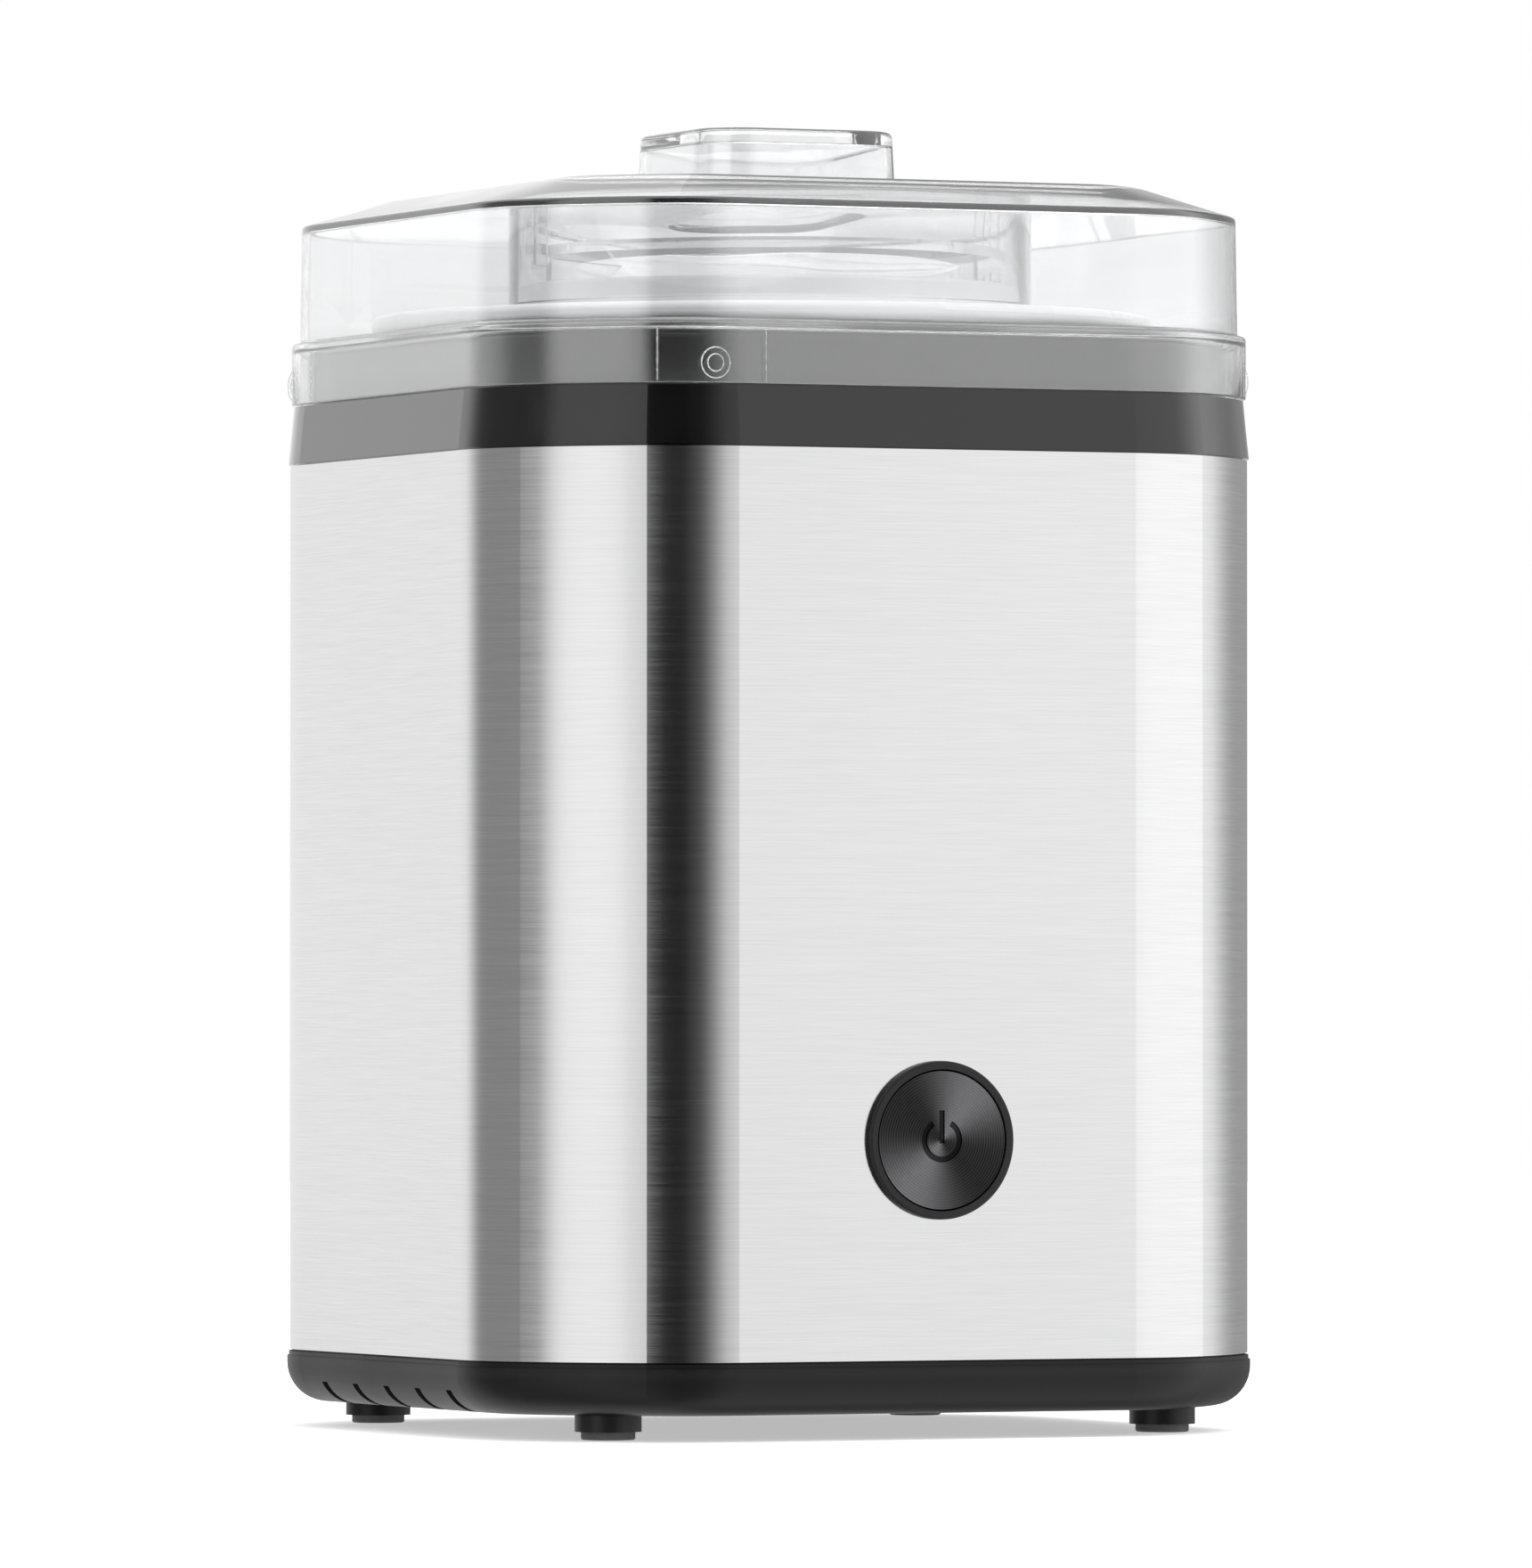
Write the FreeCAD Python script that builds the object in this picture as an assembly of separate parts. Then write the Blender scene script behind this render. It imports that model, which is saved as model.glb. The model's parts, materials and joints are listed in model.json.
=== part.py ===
import FreeCAD, Part
import math
import os

# Ice cream maker with a freezer bowl that turns on a geared base and a paddle that the lid holds still.
# Millimetres. Origin: on the floor, under the centre of the body. +Z is up, the front faces -Y, +X is right.

# ---------------------------------------------------------------- body outline
body_width = 190.0
body_depth = 186.0
corner_tight_radius = 34.0
corner_broad_radius = 86.0
corner_tight_turn = math.radians(35.0)

# ---------------------------------------------------------------- clearances
moving_gap = 0.3
running_clearance = 0.05
press_clearance = 0.02

# ---------------------------------------------------------------- feet and base tray
foot_x = 67.8
foot_y = 65.9
foot_pad_radius = 6.0
foot_pad_height = 2.8
foot_pad_edge = 0.5
foot_cup_radius = 7.4
foot_cup_bottom = 1.8
foot_cup_web = 0.8
tray_bottom = 5.5
tray_ledge_height = 16.0
tray_top = 17.0
tray_proud = 0.6
tray_ledge_proud = 0.2
tray_bottom_edge_radius = 9.0
tray_floor_top = 8.5
tray_lip_inset = 1.0
tray_lip_wall = 1.8
tray_lip_top = 24.0
vent_count = 5
vent_width = 3.0
vent_pitch = 18.0
vent_row_shift = -3.0
vent_inner_x = 74.0
vent_top = 10.5
tray_cavity_edge = 3.0
board_post_foot = 1.0
screw_tip_room = 1.0
screw_tip_gap = 0.2
screw_radius = 1.8
screw_head_radius = 3.4
screw_head_height = 1.8
tray_screw_length = 22.0

# ---------------------------------------------------------------- steel sleeve
steel_thickness = 0.8
steel_bottom = 17.4
steel_top = 218.3

# ---------------------------------------------------------------- upper ring
band_bottom = 218.7
band_top = 231.8
band_bottom_proud = 0.4
band_top_inset = 0.9
ring_plug_inset = 1.0
ring_plug_bottom = 208.0
ring_wall_inset = 3.4
ring_ceiling = 229.2
collar_inset = 4.9
collar_top = 246.2
collar_shoulder_radius = 4.0
collar_cavity_inset = 7.4
collar_deck = 2.6
collar_opening_radius = 85.05
post_radius = 6.0

# ---------------------------------------------------------------- well liner
liner_top_outer_radius = 85.0
liner_bottom_outer_radius = 81.0
liner_wall = 2.0
liner_floor_bottom = 86.3
liner_floor_top = 88.9
liner_ear_angle = 30.0
liner_ear_circle = 91.5
liner_ear_radius = 5.0
liner_ear_thickness = 2.5
liner_screw_radius = 1.5
liner_screw_skin = 1.0
liner_neck_length = 12.0
liner_neck_share = 0.94
liner_blind_hole = 2.0

# ---------------------------------------------------------------- gear train
pressure_angle = math.radians(25.0)
tooth_thinning = 0.14
flank_points = 5
drive_module = 1.25
output_teeth = 70
idler_pinion_teeth = 14
motor_module = 1.0
idler_teeth = 60
motor_pinion_teeth = 12
idler_direction = math.radians(90.0)
motor_direction = math.radians(-120.0)
motor_pinion_bottom = 58.0
motor_pinion_top = 66.0
idler_gear_bottom = 59.0
idler_gear_top = 65.0
idler_pinion_top = 80.0
idler_hub_radius = 6.5
idler_bottom = 57.5
idler_top = 82.6
output_gear_bottom = 71.0
output_gear_top = 79.0
output_hub_radius = 11.0
output_hub_bottom = 69.0
output_hub_top = 80.4
output_web_bottom = 73.0
output_web_top = 77.0
output_rim_radius = 38.0
output_web_hole_radius = 7.5
output_web_hole_circle = 24.5
output_web_hole_count = 6
output_shaft_radius = 4.0
output_shaft_bottom = 55.5
output_shaft_top = 98.0
axle_pin_radius = 3.0
clip_radius = 7.0
clip_thickness = 0.8
clip_gap = 0.1

# ---------------------------------------------------------------- gearbox
case_floor_bottom = 54.0
case_floor_top = 56.5
case_wall = 2.5
case_top = 83.3
cover_top = 86.3
gear_room = 3.0
bush_outer_radius = 7.0
bush_boss_radius = 10.0
lower_bush_top = 66.0
upper_bush_bottom = 82.0
upper_bush_top = 88.4
case_ear_radius = 6.0
case_ear_thickness = 4.0
case_ear_reach = 57.5
case_ear_angles = (-25.0, -155.0, 35.0, 135.0)
gearbox_screw_radius = 1.5
gearbox_screw_length = 8.8
axle_pin_recess = 0.5

# ---------------------------------------------------------------- motor
motor_radius = 29.0
motor_bottom = 20.0
motor_can_wall = 1.0
motor_can_top = 50.5
motor_ear_reach = 35.0
motor_ear_radius = 6.0
motor_shaft_radius = 2.5
motor_shaft_bottom = 22.5
motor_shaft_top = 66.5
motor_rotor_radius = 15.5
motor_rotor_bottom = 26.0
motor_rotor_top = 45.0
stator_inner_radius = 16.2
stator_outer_radius = 26.5
stator_bottom = 24.5
stator_top = 46.5
motor_bearing_radius = 5.0
motor_hole_radius = 6.0
motor_screw_radius = 1.5
motor_screw_length = 5.9

# ---------------------------------------------------------------- drive coupler
seal_inner_radius = 9.0
seal_outer_radius = 11.0
seal_top = 89.6
coupler_disc_radius = 19.0
coupler_disc_bottom = 90.0
coupler_disc_top = 92.0
coupler_flats = 30.0
coupler_top = 100.0
coupler_chamfer = 1.0
coupler_bore_room = 0.1

# ---------------------------------------------------------------- freezer bowl
flange_radius = 88.4
flange_bottom = 247.0
flange_top = 251.2
flange_edge_radius = 1.8
lip_outer_radius = 57.8
lip_inner_radius = 55.52
lip_top = 258.5
lip_edge_radius = 0.9
pot_inner_radius = 54.3
pot_outer_radius = 55.5
pot_top = 257.0
pot_bottom = 104.0
pot_floor = 1.5
pot_corner_radius = 11.0
bowl_bottom = 92.4
bowl_floor_top = 95.0
bowl_shell_top_radius = 81.4
bowl_shell_bottom_radius = 76.5
bowl_shell_wall = 2.2
bowl_shell_edge_radius = 5.0
rim_skirt_depth = 9.0
rim_skirt_wall = 2.2
socket_outer_radius = 22.0
socket_top = 102.6
socket_roof = 2.2
coolant_gap = 0.4
coolant_top = 228.0
bowl_seal_radius = 1.2
seal_gap = 0.05

# ---------------------------------------------------------------- lid
lid_wall = 1.8
skirt_inset = 0.3
skirt_bottom = 232.1
skirt_top = 246.2
skirt_wall = 2.0
upper_wall_bottom_inset = 2.2
upper_wall_top_inset = 2.6
upper_wall_thickness = 1.6
shoulder_height = 273.0
plateau_half_x = 71.0
plateau_half_y = 74.0
plateau_tight_radius = 14.0
plateau_broad_radius = 60.0
plateau_height = 279.1
splash_outer_radius = 60.0
splash_wall = 1.7
splash_bottom = 253.5
tab_width = 24.0
tab_offset = 53.6
tab_slit = 0.4
tab_slit_depth = 10.0
boss_height = 236.5
boss_radius = 3.5
boss_depth = 1.6
boss_root = 0.3
boss_hollow_radius = 2.1
boss_hollow_depth = 1.0
feed_half = 19.0
feed_rim_wall = 1.8
feed_rim_top = 281.0
feed_tight_radius = 7.0
feed_broad_radius = 12.0
key_rib_bottom = 262.0
key_rib_inner_radius = 55.4
key_rib_thickness = 1.5
key_rib_offset = 4.5
key_rib_root = 1.0

# ---------------------------------------------------------------- ingredient cap
cap_half_bottom = 24.9
cap_half_top = 24.3
cap_tight_radius = 9.0
cap_broad_radius = 17.0
cap_bottom = 279.4
cap_top = 293.2
cap_wall = 1.8
cap_roof = 2.0
cap_edge_radius = 1.6

# ---------------------------------------------------------------- paddle
paddle_ring_outer = 55.0
paddle_ring_inner = 45.0
paddle_ring_bottom = 264.8
paddle_ring_top = 267.2
paddle_tab_reach = 57.6
paddle_tab_width = 7.0
paddle_leg_outer = 53.3
paddle_leg_width = 8.0
paddle_thickness = 3.0
paddle_bottom = 107.5
paddle_corner_cut = 12.0
paddle_bar_height = 8.0
paddle_bar_levels = (150.0, 196.0, 240.0)
paddle_hub_radius = 5.0
paddle_overlap = 2.0
fin_reach = 9.0
fin_height = 9.0

# ---------------------------------------------------------------- power button
button_height = 65.9
bezel_outer_radius = 17.5
bezel_inner_radius = 15.65
bezel_barrel_radius = 16.9
bezel_proud = 1.8
bezel_edge_radius = 0.6
bezel_depth = 14.0
bezel_floor = 2.0
bezel_hole_depth = 1.5
sleeve_button_hole_radius = 17.0
button_face_radius = 15.25
button_face_thickness = 1.2
button_face_recess = 0.3
button_travel = 1.8
button_cup_depth = 6.0
button_cup_radius = 15.15
button_stem_proud = 0.2
button_cup_wall = 1.2
button_stem_radius = 4.0
spring_coil_radius = 6.5
spring_wire_radius = 0.45
spring_turns = 4
spring_seat_gap = 0.05
symbol_ring_radius = 4.25
symbol_stroke = 1.3
symbol_depth = 0.35
symbol_bar_bottom = -0.7
symbol_bar_top = 6.6
symbol_gap_angle = 60.0
plunger_radius = 2.0
plunger_length = 6.0
switch_width = 18.0
switch_height = 20.0
switch_depth = 15.0
switch_ear_reach = 16.0
switch_ear_half_width = 6.0
switch_screw_reach = 12.6
switch_spacer_room = 0.4
stem_room = 1.0
switch_screw_radius = 1.2
small_head_height = 1.2
switch_terminal_half = 0.4
switch_terminal_width = 4.8
switch_terminal_length = 7.0

# ---------------------------------------------------------------- cord gland
gland_x = 34.0
gland_height = 34.0
gland_flange_radius = 9.0
gland_barrel_radius = 6.5
gland_bore_radius = 3.6
gland_proud = 1.8
gland_inner_flange = 2.0
gland_inner_radius = 8.0
gland_edge_radius = 0.8

# ---------------------------------------------------------------- circuit board
board_x = 46.0
board_y = -34.0
board_width = 52.0
board_depth = 40.0
board_thickness = 1.6
board_height = 18.0
board_hole_inset = 4.0
board_post_radius = 3.0
board_screw_radius = 1.2
board_screw_length = 7.6
relay_shift_x = 11.0
relay_width = 18.0
relay_depth = 13.0
relay_height = 14.0
capacitor_shift_x = 10.0
capacitor_shift_y = 6.0
capacitor_radius = 6.0
capacitor_height = 12.0
fuse_shift_x = 12.0
fuse_shift_y = 8.0
fuse_length = 20.0
fuse_width = 6.0
fuse_height = 7.0
plug_shift_x = 7.0
plug_shift_y = 15.0
plug_width = 10.0
plug_depth = 6.0
plug_height = 8.0
wire_radius = 1.0
switch_lead_reach = 1.8
lead_pair_offset = 2.0
lead_end_gap = 0.1
switch_lead_rise = 8.0
motor_lead_height = 34.0
motor_lead_step = 2.5
motor_lead_spread = 1.5
motor_lead_gap = 0.4

# ---------------------------------------------------------------- values worked out from the above
half_width = body_width / 2
half_depth = body_depth / 2
gearbox_screw_hole = gearbox_screw_radius + press_clearance
motor_screw_hole = motor_screw_radius + press_clearance
liner_screw_hole = liner_screw_radius + press_clearance
board_screw_hole = board_screw_radius + press_clearance
tray_screw_hole = screw_radius + press_clearance
switch_screw_hole = switch_screw_radius + press_clearance
drive_distance = drive_module * (output_teeth + idler_pinion_teeth) / 2
motor_distance = motor_module * (idler_teeth + motor_pinion_teeth) / 2
idler_x = drive_distance * math.cos(idler_direction)
idler_y = drive_distance * math.sin(idler_direction)
motor_x = idler_x + motor_distance * math.cos(motor_direction)
motor_y = idler_y + motor_distance * math.sin(motor_direction)
corner_signs = ((1, 1), (-1, 1), (-1, -1), (1, -1))
foot_places = [(sx * foot_x, sy * foot_y) for sx, sy in corner_signs]


# ================================================================ helpers
def vec(x, y, z):
    return FreeCAD.Vector(x, y, z)


def cylinder(radius, bottom, top, x=0.0, y=0.0):
    return Part.makeCylinder(radius, top - bottom, vec(x, y, bottom))


def tube(outer, inner, bottom, top, x=0.0, y=0.0):
    return cylinder(outer, bottom, top, x, y).cut(cylinder(inner, bottom, top, x, y))


def cone(bottom_radius, top_radius, bottom, top):
    return Part.makeCone(bottom_radius, top_radius, top - bottom, vec(0, 0, bottom))


def box(low_x, high_x, low_y, high_y, low_z, high_z):
    return Part.makeBox(high_x - low_x, high_y - low_y, high_z - low_z, vec(low_x, low_y, low_z))


def along_y(radius, start_y, end_y, x=0.0, z=button_height):
    """A cylinder whose axis runs front to back."""
    return Part.makeCylinder(radius, end_y - start_y, vec(x, start_y, z), vec(0, 1, 0))


def rounded_outline(half_x, half_y, tight, broad, z):
    """A rounded rectangle whose corners are three tangent arcs: tight, broad, tight."""
    turn = corner_tight_turn
    side = math.sin(turn)
    along = math.cos(turn)
    extent = tight * (side + 1 - along) + broad * (along - side)
    first = (half_x - tight, half_y - extent)
    middle = (first[0] + (tight - broad) * along, first[1] + (tight - broad) * side)
    last = (middle[0] + (broad - tight) * side, middle[1] + (broad - tight) * along)
    quarter = math.pi / 2
    spans = (
        (first, tight, 0.0, turn),
        (middle, broad, turn, quarter - turn),
        (last, tight, quarter - turn, quarter),
    )
    arcs = []
    for centre, radius, begin, end in spans:
        angles = (begin, (begin + end) / 2, end)
        arcs.append([(centre[0] + radius * math.cos(a), centre[1] + radius * math.sin(a)) for a in angles])
    edges = []
    previous = None
    opening = None
    for sx, sy in corner_signs:
        turned = arcs if sx * sy > 0 else [arc[::-1] for arc in arcs[::-1]]
        for arc in turned:
            points = [vec(sx * x, sy * y, z) for x, y in arc]
            if previous is None:
                opening = points[0]
            elif (points[0] - previous).Length > 1e-6:
                edges.append(Part.makeLine(previous, points[0]))
            edges.append(Part.Arc(*points).toShape())
            previous = points[2]
    edges.append(Part.makeLine(previous, opening))
    return Part.Wire(edges)


def body_outline(inset, z):
    return rounded_outline(
        half_width - inset, half_depth - inset,
        corner_tight_radius - inset, corner_broad_radius - inset, z,
    )


def body_block(inset, bottom, top):
    """A solid of the body's outline, moved in by inset all round."""
    return Part.Face(body_outline(inset, bottom)).extrude(vec(0, 0, top - bottom))


def body_taper(bottom_inset, bottom, top_inset, top):
    return Part.makeLoft([body_outline(bottom_inset, bottom), body_outline(top_inset, top)], True, True)


def square_block(half, tight, broad, bottom, top):
    return Part.Face(rounded_outline(half, half, tight, broad, bottom)).extrude(vec(0, 0, top - bottom))


def edges_at_height(shape, z):
    return [e for e in shape.Edges if abs(e.BoundBox.ZMin - z) < 1e-4 and abs(e.BoundBox.ZMax - z) < 1e-4]


def round_rims(shape, z, radius):
    """Round every edge that lies flat at height z."""
    return shape.makeFillet(radius, edges_at_height(shape, z))


def hexagon(flats, bottom, top):
    corner = flats / math.sqrt(3)
    points = [vec(corner * math.cos(math.radians(60 * k)), corner * math.sin(math.radians(60 * k)), bottom)
              for k in range(7)]
    return Part.Face(Part.makePolygon(points)).extrude(vec(0, 0, top - bottom))


def polar(radius, degrees):
    return radius * math.cos(math.radians(degrees)), radius * math.sin(math.radians(degrees))


def fused(shapes):
    joined = shapes[0]
    for shape in shapes[1:]:
        joined = joined.fuse(shape)
    return joined.removeSplitter()


def save(name, shape):
    shape.exportStep("parts/" + name + ".step")


# ================================================================ gears
def involute(angle):
    return math.tan(angle) - angle


def gear(teeth, module, bottom, top, phase, x=0.0, y=0.0):
    """An involute spur gear. phase is the direction of one tooth's centre line, in radians."""
    pitch_radius = module * teeth / 2
    base_radius = pitch_radius * math.cos(pressure_angle)
    tip_radius = pitch_radius + module
    root_radius = pitch_radius - 1.25 * module
    flank_start = max(base_radius, root_radius)
    pitch_half = (math.pi * module / 2 - tooth_thinning) / (2 * pitch_radius)

    def half_angle(radius):
        roll = math.acos(min(1.0, base_radius / radius))
        return pitch_half + involute(pressure_angle) - involute(roll)

    def spot(radius, angle):
        return vec(radius * math.cos(angle), radius * math.sin(angle), bottom)

    radii = [flank_start + (tip_radius - flank_start) * k / (flank_points - 1) for k in range(flank_points)]
    step = 2 * math.pi / teeth
    edges = []
    for tooth in range(teeth):
        centre = phase + tooth * step
        rising = [spot(r, centre - half_angle(r)) for r in radii]
        falling = [spot(r, centre + half_angle(r)) for r in radii[::-1]]
        start_half = half_angle(flank_start)
        gap_start = centre + start_half
        gap_end = centre + step - start_half
        if root_radius < base_radius:
            edges.append(Part.makeLine(spot(root_radius, centre - start_half), rising[0]))
        for points in (rising, falling):
            curve = Part.BSplineCurve()
            curve.interpolate(points)
            edges.append(curve.toShape())
            if points is rising:
                edges.append(Part.Arc(rising[-1], spot(tip_radius, centre), falling[0]).toShape())
        if root_radius < base_radius:
            edges.append(Part.makeLine(falling[-1], spot(root_radius, gap_start)))
        valley = (spot(root_radius, gap_start), spot(root_radius, (gap_start + gap_end) / 2),
                  spot(root_radius, gap_end))
        edges.append(Part.Arc(*valley).toShape())
    disc = Part.Face(Part.Wire(edges)).extrude(vec(0, 0, top - bottom))
    disc.translate(vec(x, y, 0))
    return disc


def meshing_phase(teeth, direction, mate_teeth, mate_phase):
    """Phase that puts a gear in mesh with its mate. direction points from the mate to this gear."""
    mate_fraction = (direction - mate_phase) * mate_teeth / (2 * math.pi)
    return direction + math.pi - (0.5 - mate_fraction) * 2 * math.pi / teeth


idler_pinion_phase = meshing_phase(idler_pinion_teeth, idler_direction, output_teeth, 0.0)
motor_pinion_phase = meshing_phase(motor_pinion_teeth, motor_direction, idler_teeth, 0.0)


# ================================================================ feet and base tray
def rubber_feet():
    pads = []
    for x, y in foot_places:
        pad = cylinder(foot_pad_radius, 0.0, foot_pad_height, x, y)
        pads.append(round_rims(pad, 0.0, foot_pad_edge))
    return Part.makeCompound(pads)


def foot_cups():
    web_bottom = tray_bottom - foot_cup_web
    cups = []
    for x, y in foot_places:
        cup = cylinder(foot_cup_radius, foot_cup_bottom, tray_bottom, x, y)
        cup = cup.cut(cylinder(foot_pad_radius + press_clearance, foot_cup_bottom, web_bottom, x, y))
        cup = cup.cut(cylinder(tray_screw_hole, foot_cup_bottom, tray_bottom, x, y))
        cups.append(cup)
    return Part.makeCompound(cups)


def tray_screws():
    screws = []
    for x, y in foot_places:
        head_top = tray_bottom - foot_cup_web
        head = cylinder(screw_head_radius, head_top - screw_head_height, head_top, x, y)
        screws.append(head.fuse(cylinder(screw_radius, head_top, head_top + tray_screw_length, x, y)))
    return Part.makeCompound(screws)


def board_holes():
    reach_x = board_width / 2 - board_hole_inset
    reach_y = board_depth / 2 - board_hole_inset
    return [(board_x + sx * reach_x, board_y + sy * reach_y) for sx, sy in corner_signs]


def tray_vents():
    """A row of slots through the rounded bottom edge of each side."""
    row_start = vent_row_shift - vent_pitch * (vent_count - 1) / 2
    side_x = half_width + 2 * tray_proud
    slots = []
    for k in range(vent_count):
        y = row_start + k * vent_pitch
        low_y = y - vent_width / 2
        high_y = y + vent_width / 2
        slots.append(box(vent_inner_x, side_x, low_y, high_y, tray_bottom, vent_top))
        slots.append(box(-side_x, -vent_inner_x, low_y, high_y, tray_bottom, vent_top))
    return slots


def base_tray():
    tray = body_block(-tray_proud, tray_bottom, tray_ledge_height)
    tray = round_rims(tray, tray_bottom, tray_bottom_edge_radius)
    tray = tray.fuse(body_block(-tray_ledge_proud, tray_ledge_height, tray_top))
    tray = tray.fuse(body_block(tray_lip_inset, tray_ledge_height, tray_lip_top))
    cavity = body_block(tray_lip_inset + tray_lip_wall, tray_floor_top, tray_lip_top)
    tray = tray.cut(round_rims(cavity, tray_floor_top, tray_cavity_edge))
    for slot in tray_vents():
        tray = tray.cut(slot)
    for x, y in board_holes():
        post = cylinder(board_post_radius, tray_bottom + board_post_foot, board_height, x, y)
        hole = cylinder(board_screw_hole, tray_floor_top, board_height, x, y)
        tray = tray.fuse(post).cut(hole)
    for x, y in foot_places:
        tray = tray.cut(cylinder(tray_screw_hole, tray_bottom, tray_floor_top, x, y))
    return tray.removeSplitter()


def tie_posts():
    top = collar_top - collar_deck
    posts = []
    for x, y in foot_places:
        post = cylinder(post_radius, tray_floor_top, top, x, y)
        hole_end = tray_bottom - foot_cup_web + tray_screw_length + screw_tip_room
        posts.append(post.cut(cylinder(tray_screw_hole, tray_floor_top, hole_end, x, y)))
    return Part.makeCompound(posts)


# ================================================================ housing
def steel_sleeve():
    sleeve = body_block(0.0, steel_bottom, steel_top)
    sleeve = sleeve.cut(body_block(steel_thickness, steel_bottom, steel_top))
    button_hole = along_y(sleeve_button_hole_radius, -half_depth, -half_depth + steel_thickness)
    gland_hole = along_y(gland_barrel_radius + press_clearance, half_depth - steel_thickness, half_depth,
                         gland_x, gland_height)
    return sleeve.cut(button_hole).cut(gland_hole)


def liner_ear_places():
    angles = (liner_ear_angle, 180 - liner_ear_angle, 180 + liner_ear_angle, -liner_ear_angle)
    return [polar(liner_ear_circle, angle) for angle in angles]


def upper_ring():
    collar = body_block(collar_inset, band_top, collar_top)
    collar = round_rims(collar, collar_top, collar_shoulder_radius)
    ring = body_taper(-band_bottom_proud, band_bottom, band_top_inset, band_top).fuse(collar)
    ring = ring.fuse(body_block(ring_plug_inset, ring_plug_bottom, band_bottom))
    ring = ring.cut(body_block(ring_wall_inset, ring_plug_bottom, ring_ceiling))
    ring = ring.cut(body_block(collar_cavity_inset, ring_plug_bottom, collar_top - collar_deck))
    ring = ring.cut(cylinder(collar_opening_radius, ring_plug_bottom, collar_top))
    for x, y in liner_ear_places():
        hole = cylinder(liner_screw_hole, collar_top - collar_deck,
                        collar_top - liner_screw_skin, x, y)
        ring = ring.cut(hole)
    return ring.removeSplitter()


def well_liner():
    under_deck = collar_top - collar_deck
    outer = cone(liner_bottom_outer_radius, liner_top_outer_radius, liner_floor_bottom, collar_top)
    inner = cone(liner_bottom_outer_radius - liner_wall, liner_top_outer_radius - liner_wall,
                 liner_floor_top, collar_top)
    liner = outer
    for x, y in liner_ear_places():
        ear_bottom = under_deck - liner_ear_thickness
        ear = cylinder(liner_ear_radius, ear_bottom, under_deck, x, y)
        neck = box(-liner_neck_length / 2, liner_neck_length / 2, -liner_ear_radius, liner_ear_radius,
                   ear_bottom, under_deck)
        neck.rotate(vec(0, 0, 0), vec(0, 0, 1), math.degrees(math.atan2(y, x)))
        neck.translate(vec(x * liner_neck_share, y * liner_neck_share, 0))
        liner = liner.fuse(ear).fuse(neck)
    liner = liner.cut(inner)
    liner = liner.cut(cylinder(bush_outer_radius + press_clearance, liner_floor_bottom, liner_floor_top))
    for x, y in liner_ear_places():
        ear_bottom = under_deck - liner_ear_thickness
        liner = liner.cut(cylinder(liner_screw_hole, ear_bottom, under_deck, x, y))
    for x, y in case_ear_places():
        hole_top = liner_floor_bottom + liner_blind_hole
        liner = liner.cut(cylinder(gearbox_screw_hole, liner_floor_bottom, hole_top, x, y))
    return liner.removeSplitter()


def liner_screws():
    head_top = collar_top - collar_deck - liner_ear_thickness
    screws = []
    for x, y in liner_ear_places():
        head = cylinder(2 * liner_screw_radius, head_top - screw_head_height, head_top, x, y)
        shank = cylinder(liner_screw_radius, head_top, collar_top - liner_screw_skin - screw_tip_gap, x, y)
        screws.append(head.fuse(shank))
    return Part.makeCompound(screws)


# ================================================================ gearbox
def case_ear_places():
    return [polar(case_ear_reach, angle) for angle in case_ear_angles]


def case_lobes(extra, bottom, top):
    output_radius = drive_module * (output_teeth + 2) / 2 + gear_room + extra
    idler_radius = motor_module * (idler_teeth + 2) / 2 + gear_room + extra
    return cylinder(output_radius, bottom, top).fuse(cylinder(idler_radius, bottom, top, idler_x, idler_y))


def with_ears(shape, bottom, top):
    """Add screw ears, each on an arm from the gearbox axis."""
    for angle in case_ear_angles:
        x, y = polar(case_ear_reach, angle)
        arm = box(0, case_ear_reach, -case_ear_radius, case_ear_radius, bottom, top)
        arm.rotate(vec(0, 0, 0), vec(0, 0, 1), angle)
        shape = shape.fuse(arm).fuse(cylinder(case_ear_radius, bottom, top, x, y))
    return shape


def gearbox_case():
    case = case_lobes(case_wall, case_floor_bottom, case_top)
    case = with_ears(case, case_top - case_ear_thickness, case_top)
    case = case.cut(case_lobes(0.0, case_floor_top, case_top))
    case = case.fuse(cylinder(bush_boss_radius, case_floor_top, lower_bush_top))
    case = case.cut(cylinder(bush_outer_radius + press_clearance, case_floor_bottom, lower_bush_top))
    case = case.cut(cylinder(axle_pin_radius + press_clearance, case_floor_bottom, case_floor_top,
                             idler_x, idler_y))
    case = case.cut(cylinder(motor_hole_radius, case_floor_bottom, case_floor_top, motor_x, motor_y))
    for x, y in motor_ear_places():
        case = case.cut(cylinder(motor_screw_hole, case_floor_bottom, case_floor_top, x, y))
    for x, y in case_ear_places():
        case = case.cut(cylinder(gearbox_screw_hole, case_floor_top, case_top, x, y))
    return case.removeSplitter()


def gearbox_cover():
    cover = with_ears(case_lobes(case_wall, case_top, cover_top), case_top, cover_top)
    cover = cover.cut(cylinder(bush_outer_radius + press_clearance, case_top, cover_top))
    cover = cover.cut(cylinder(axle_pin_radius + press_clearance, case_top, cover_top, idler_x, idler_y))
    for x, y in case_ear_places():
        cover = cover.cut(cylinder(gearbox_screw_hole, case_top, cover_top, x, y))
    return cover.removeSplitter()


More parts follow.
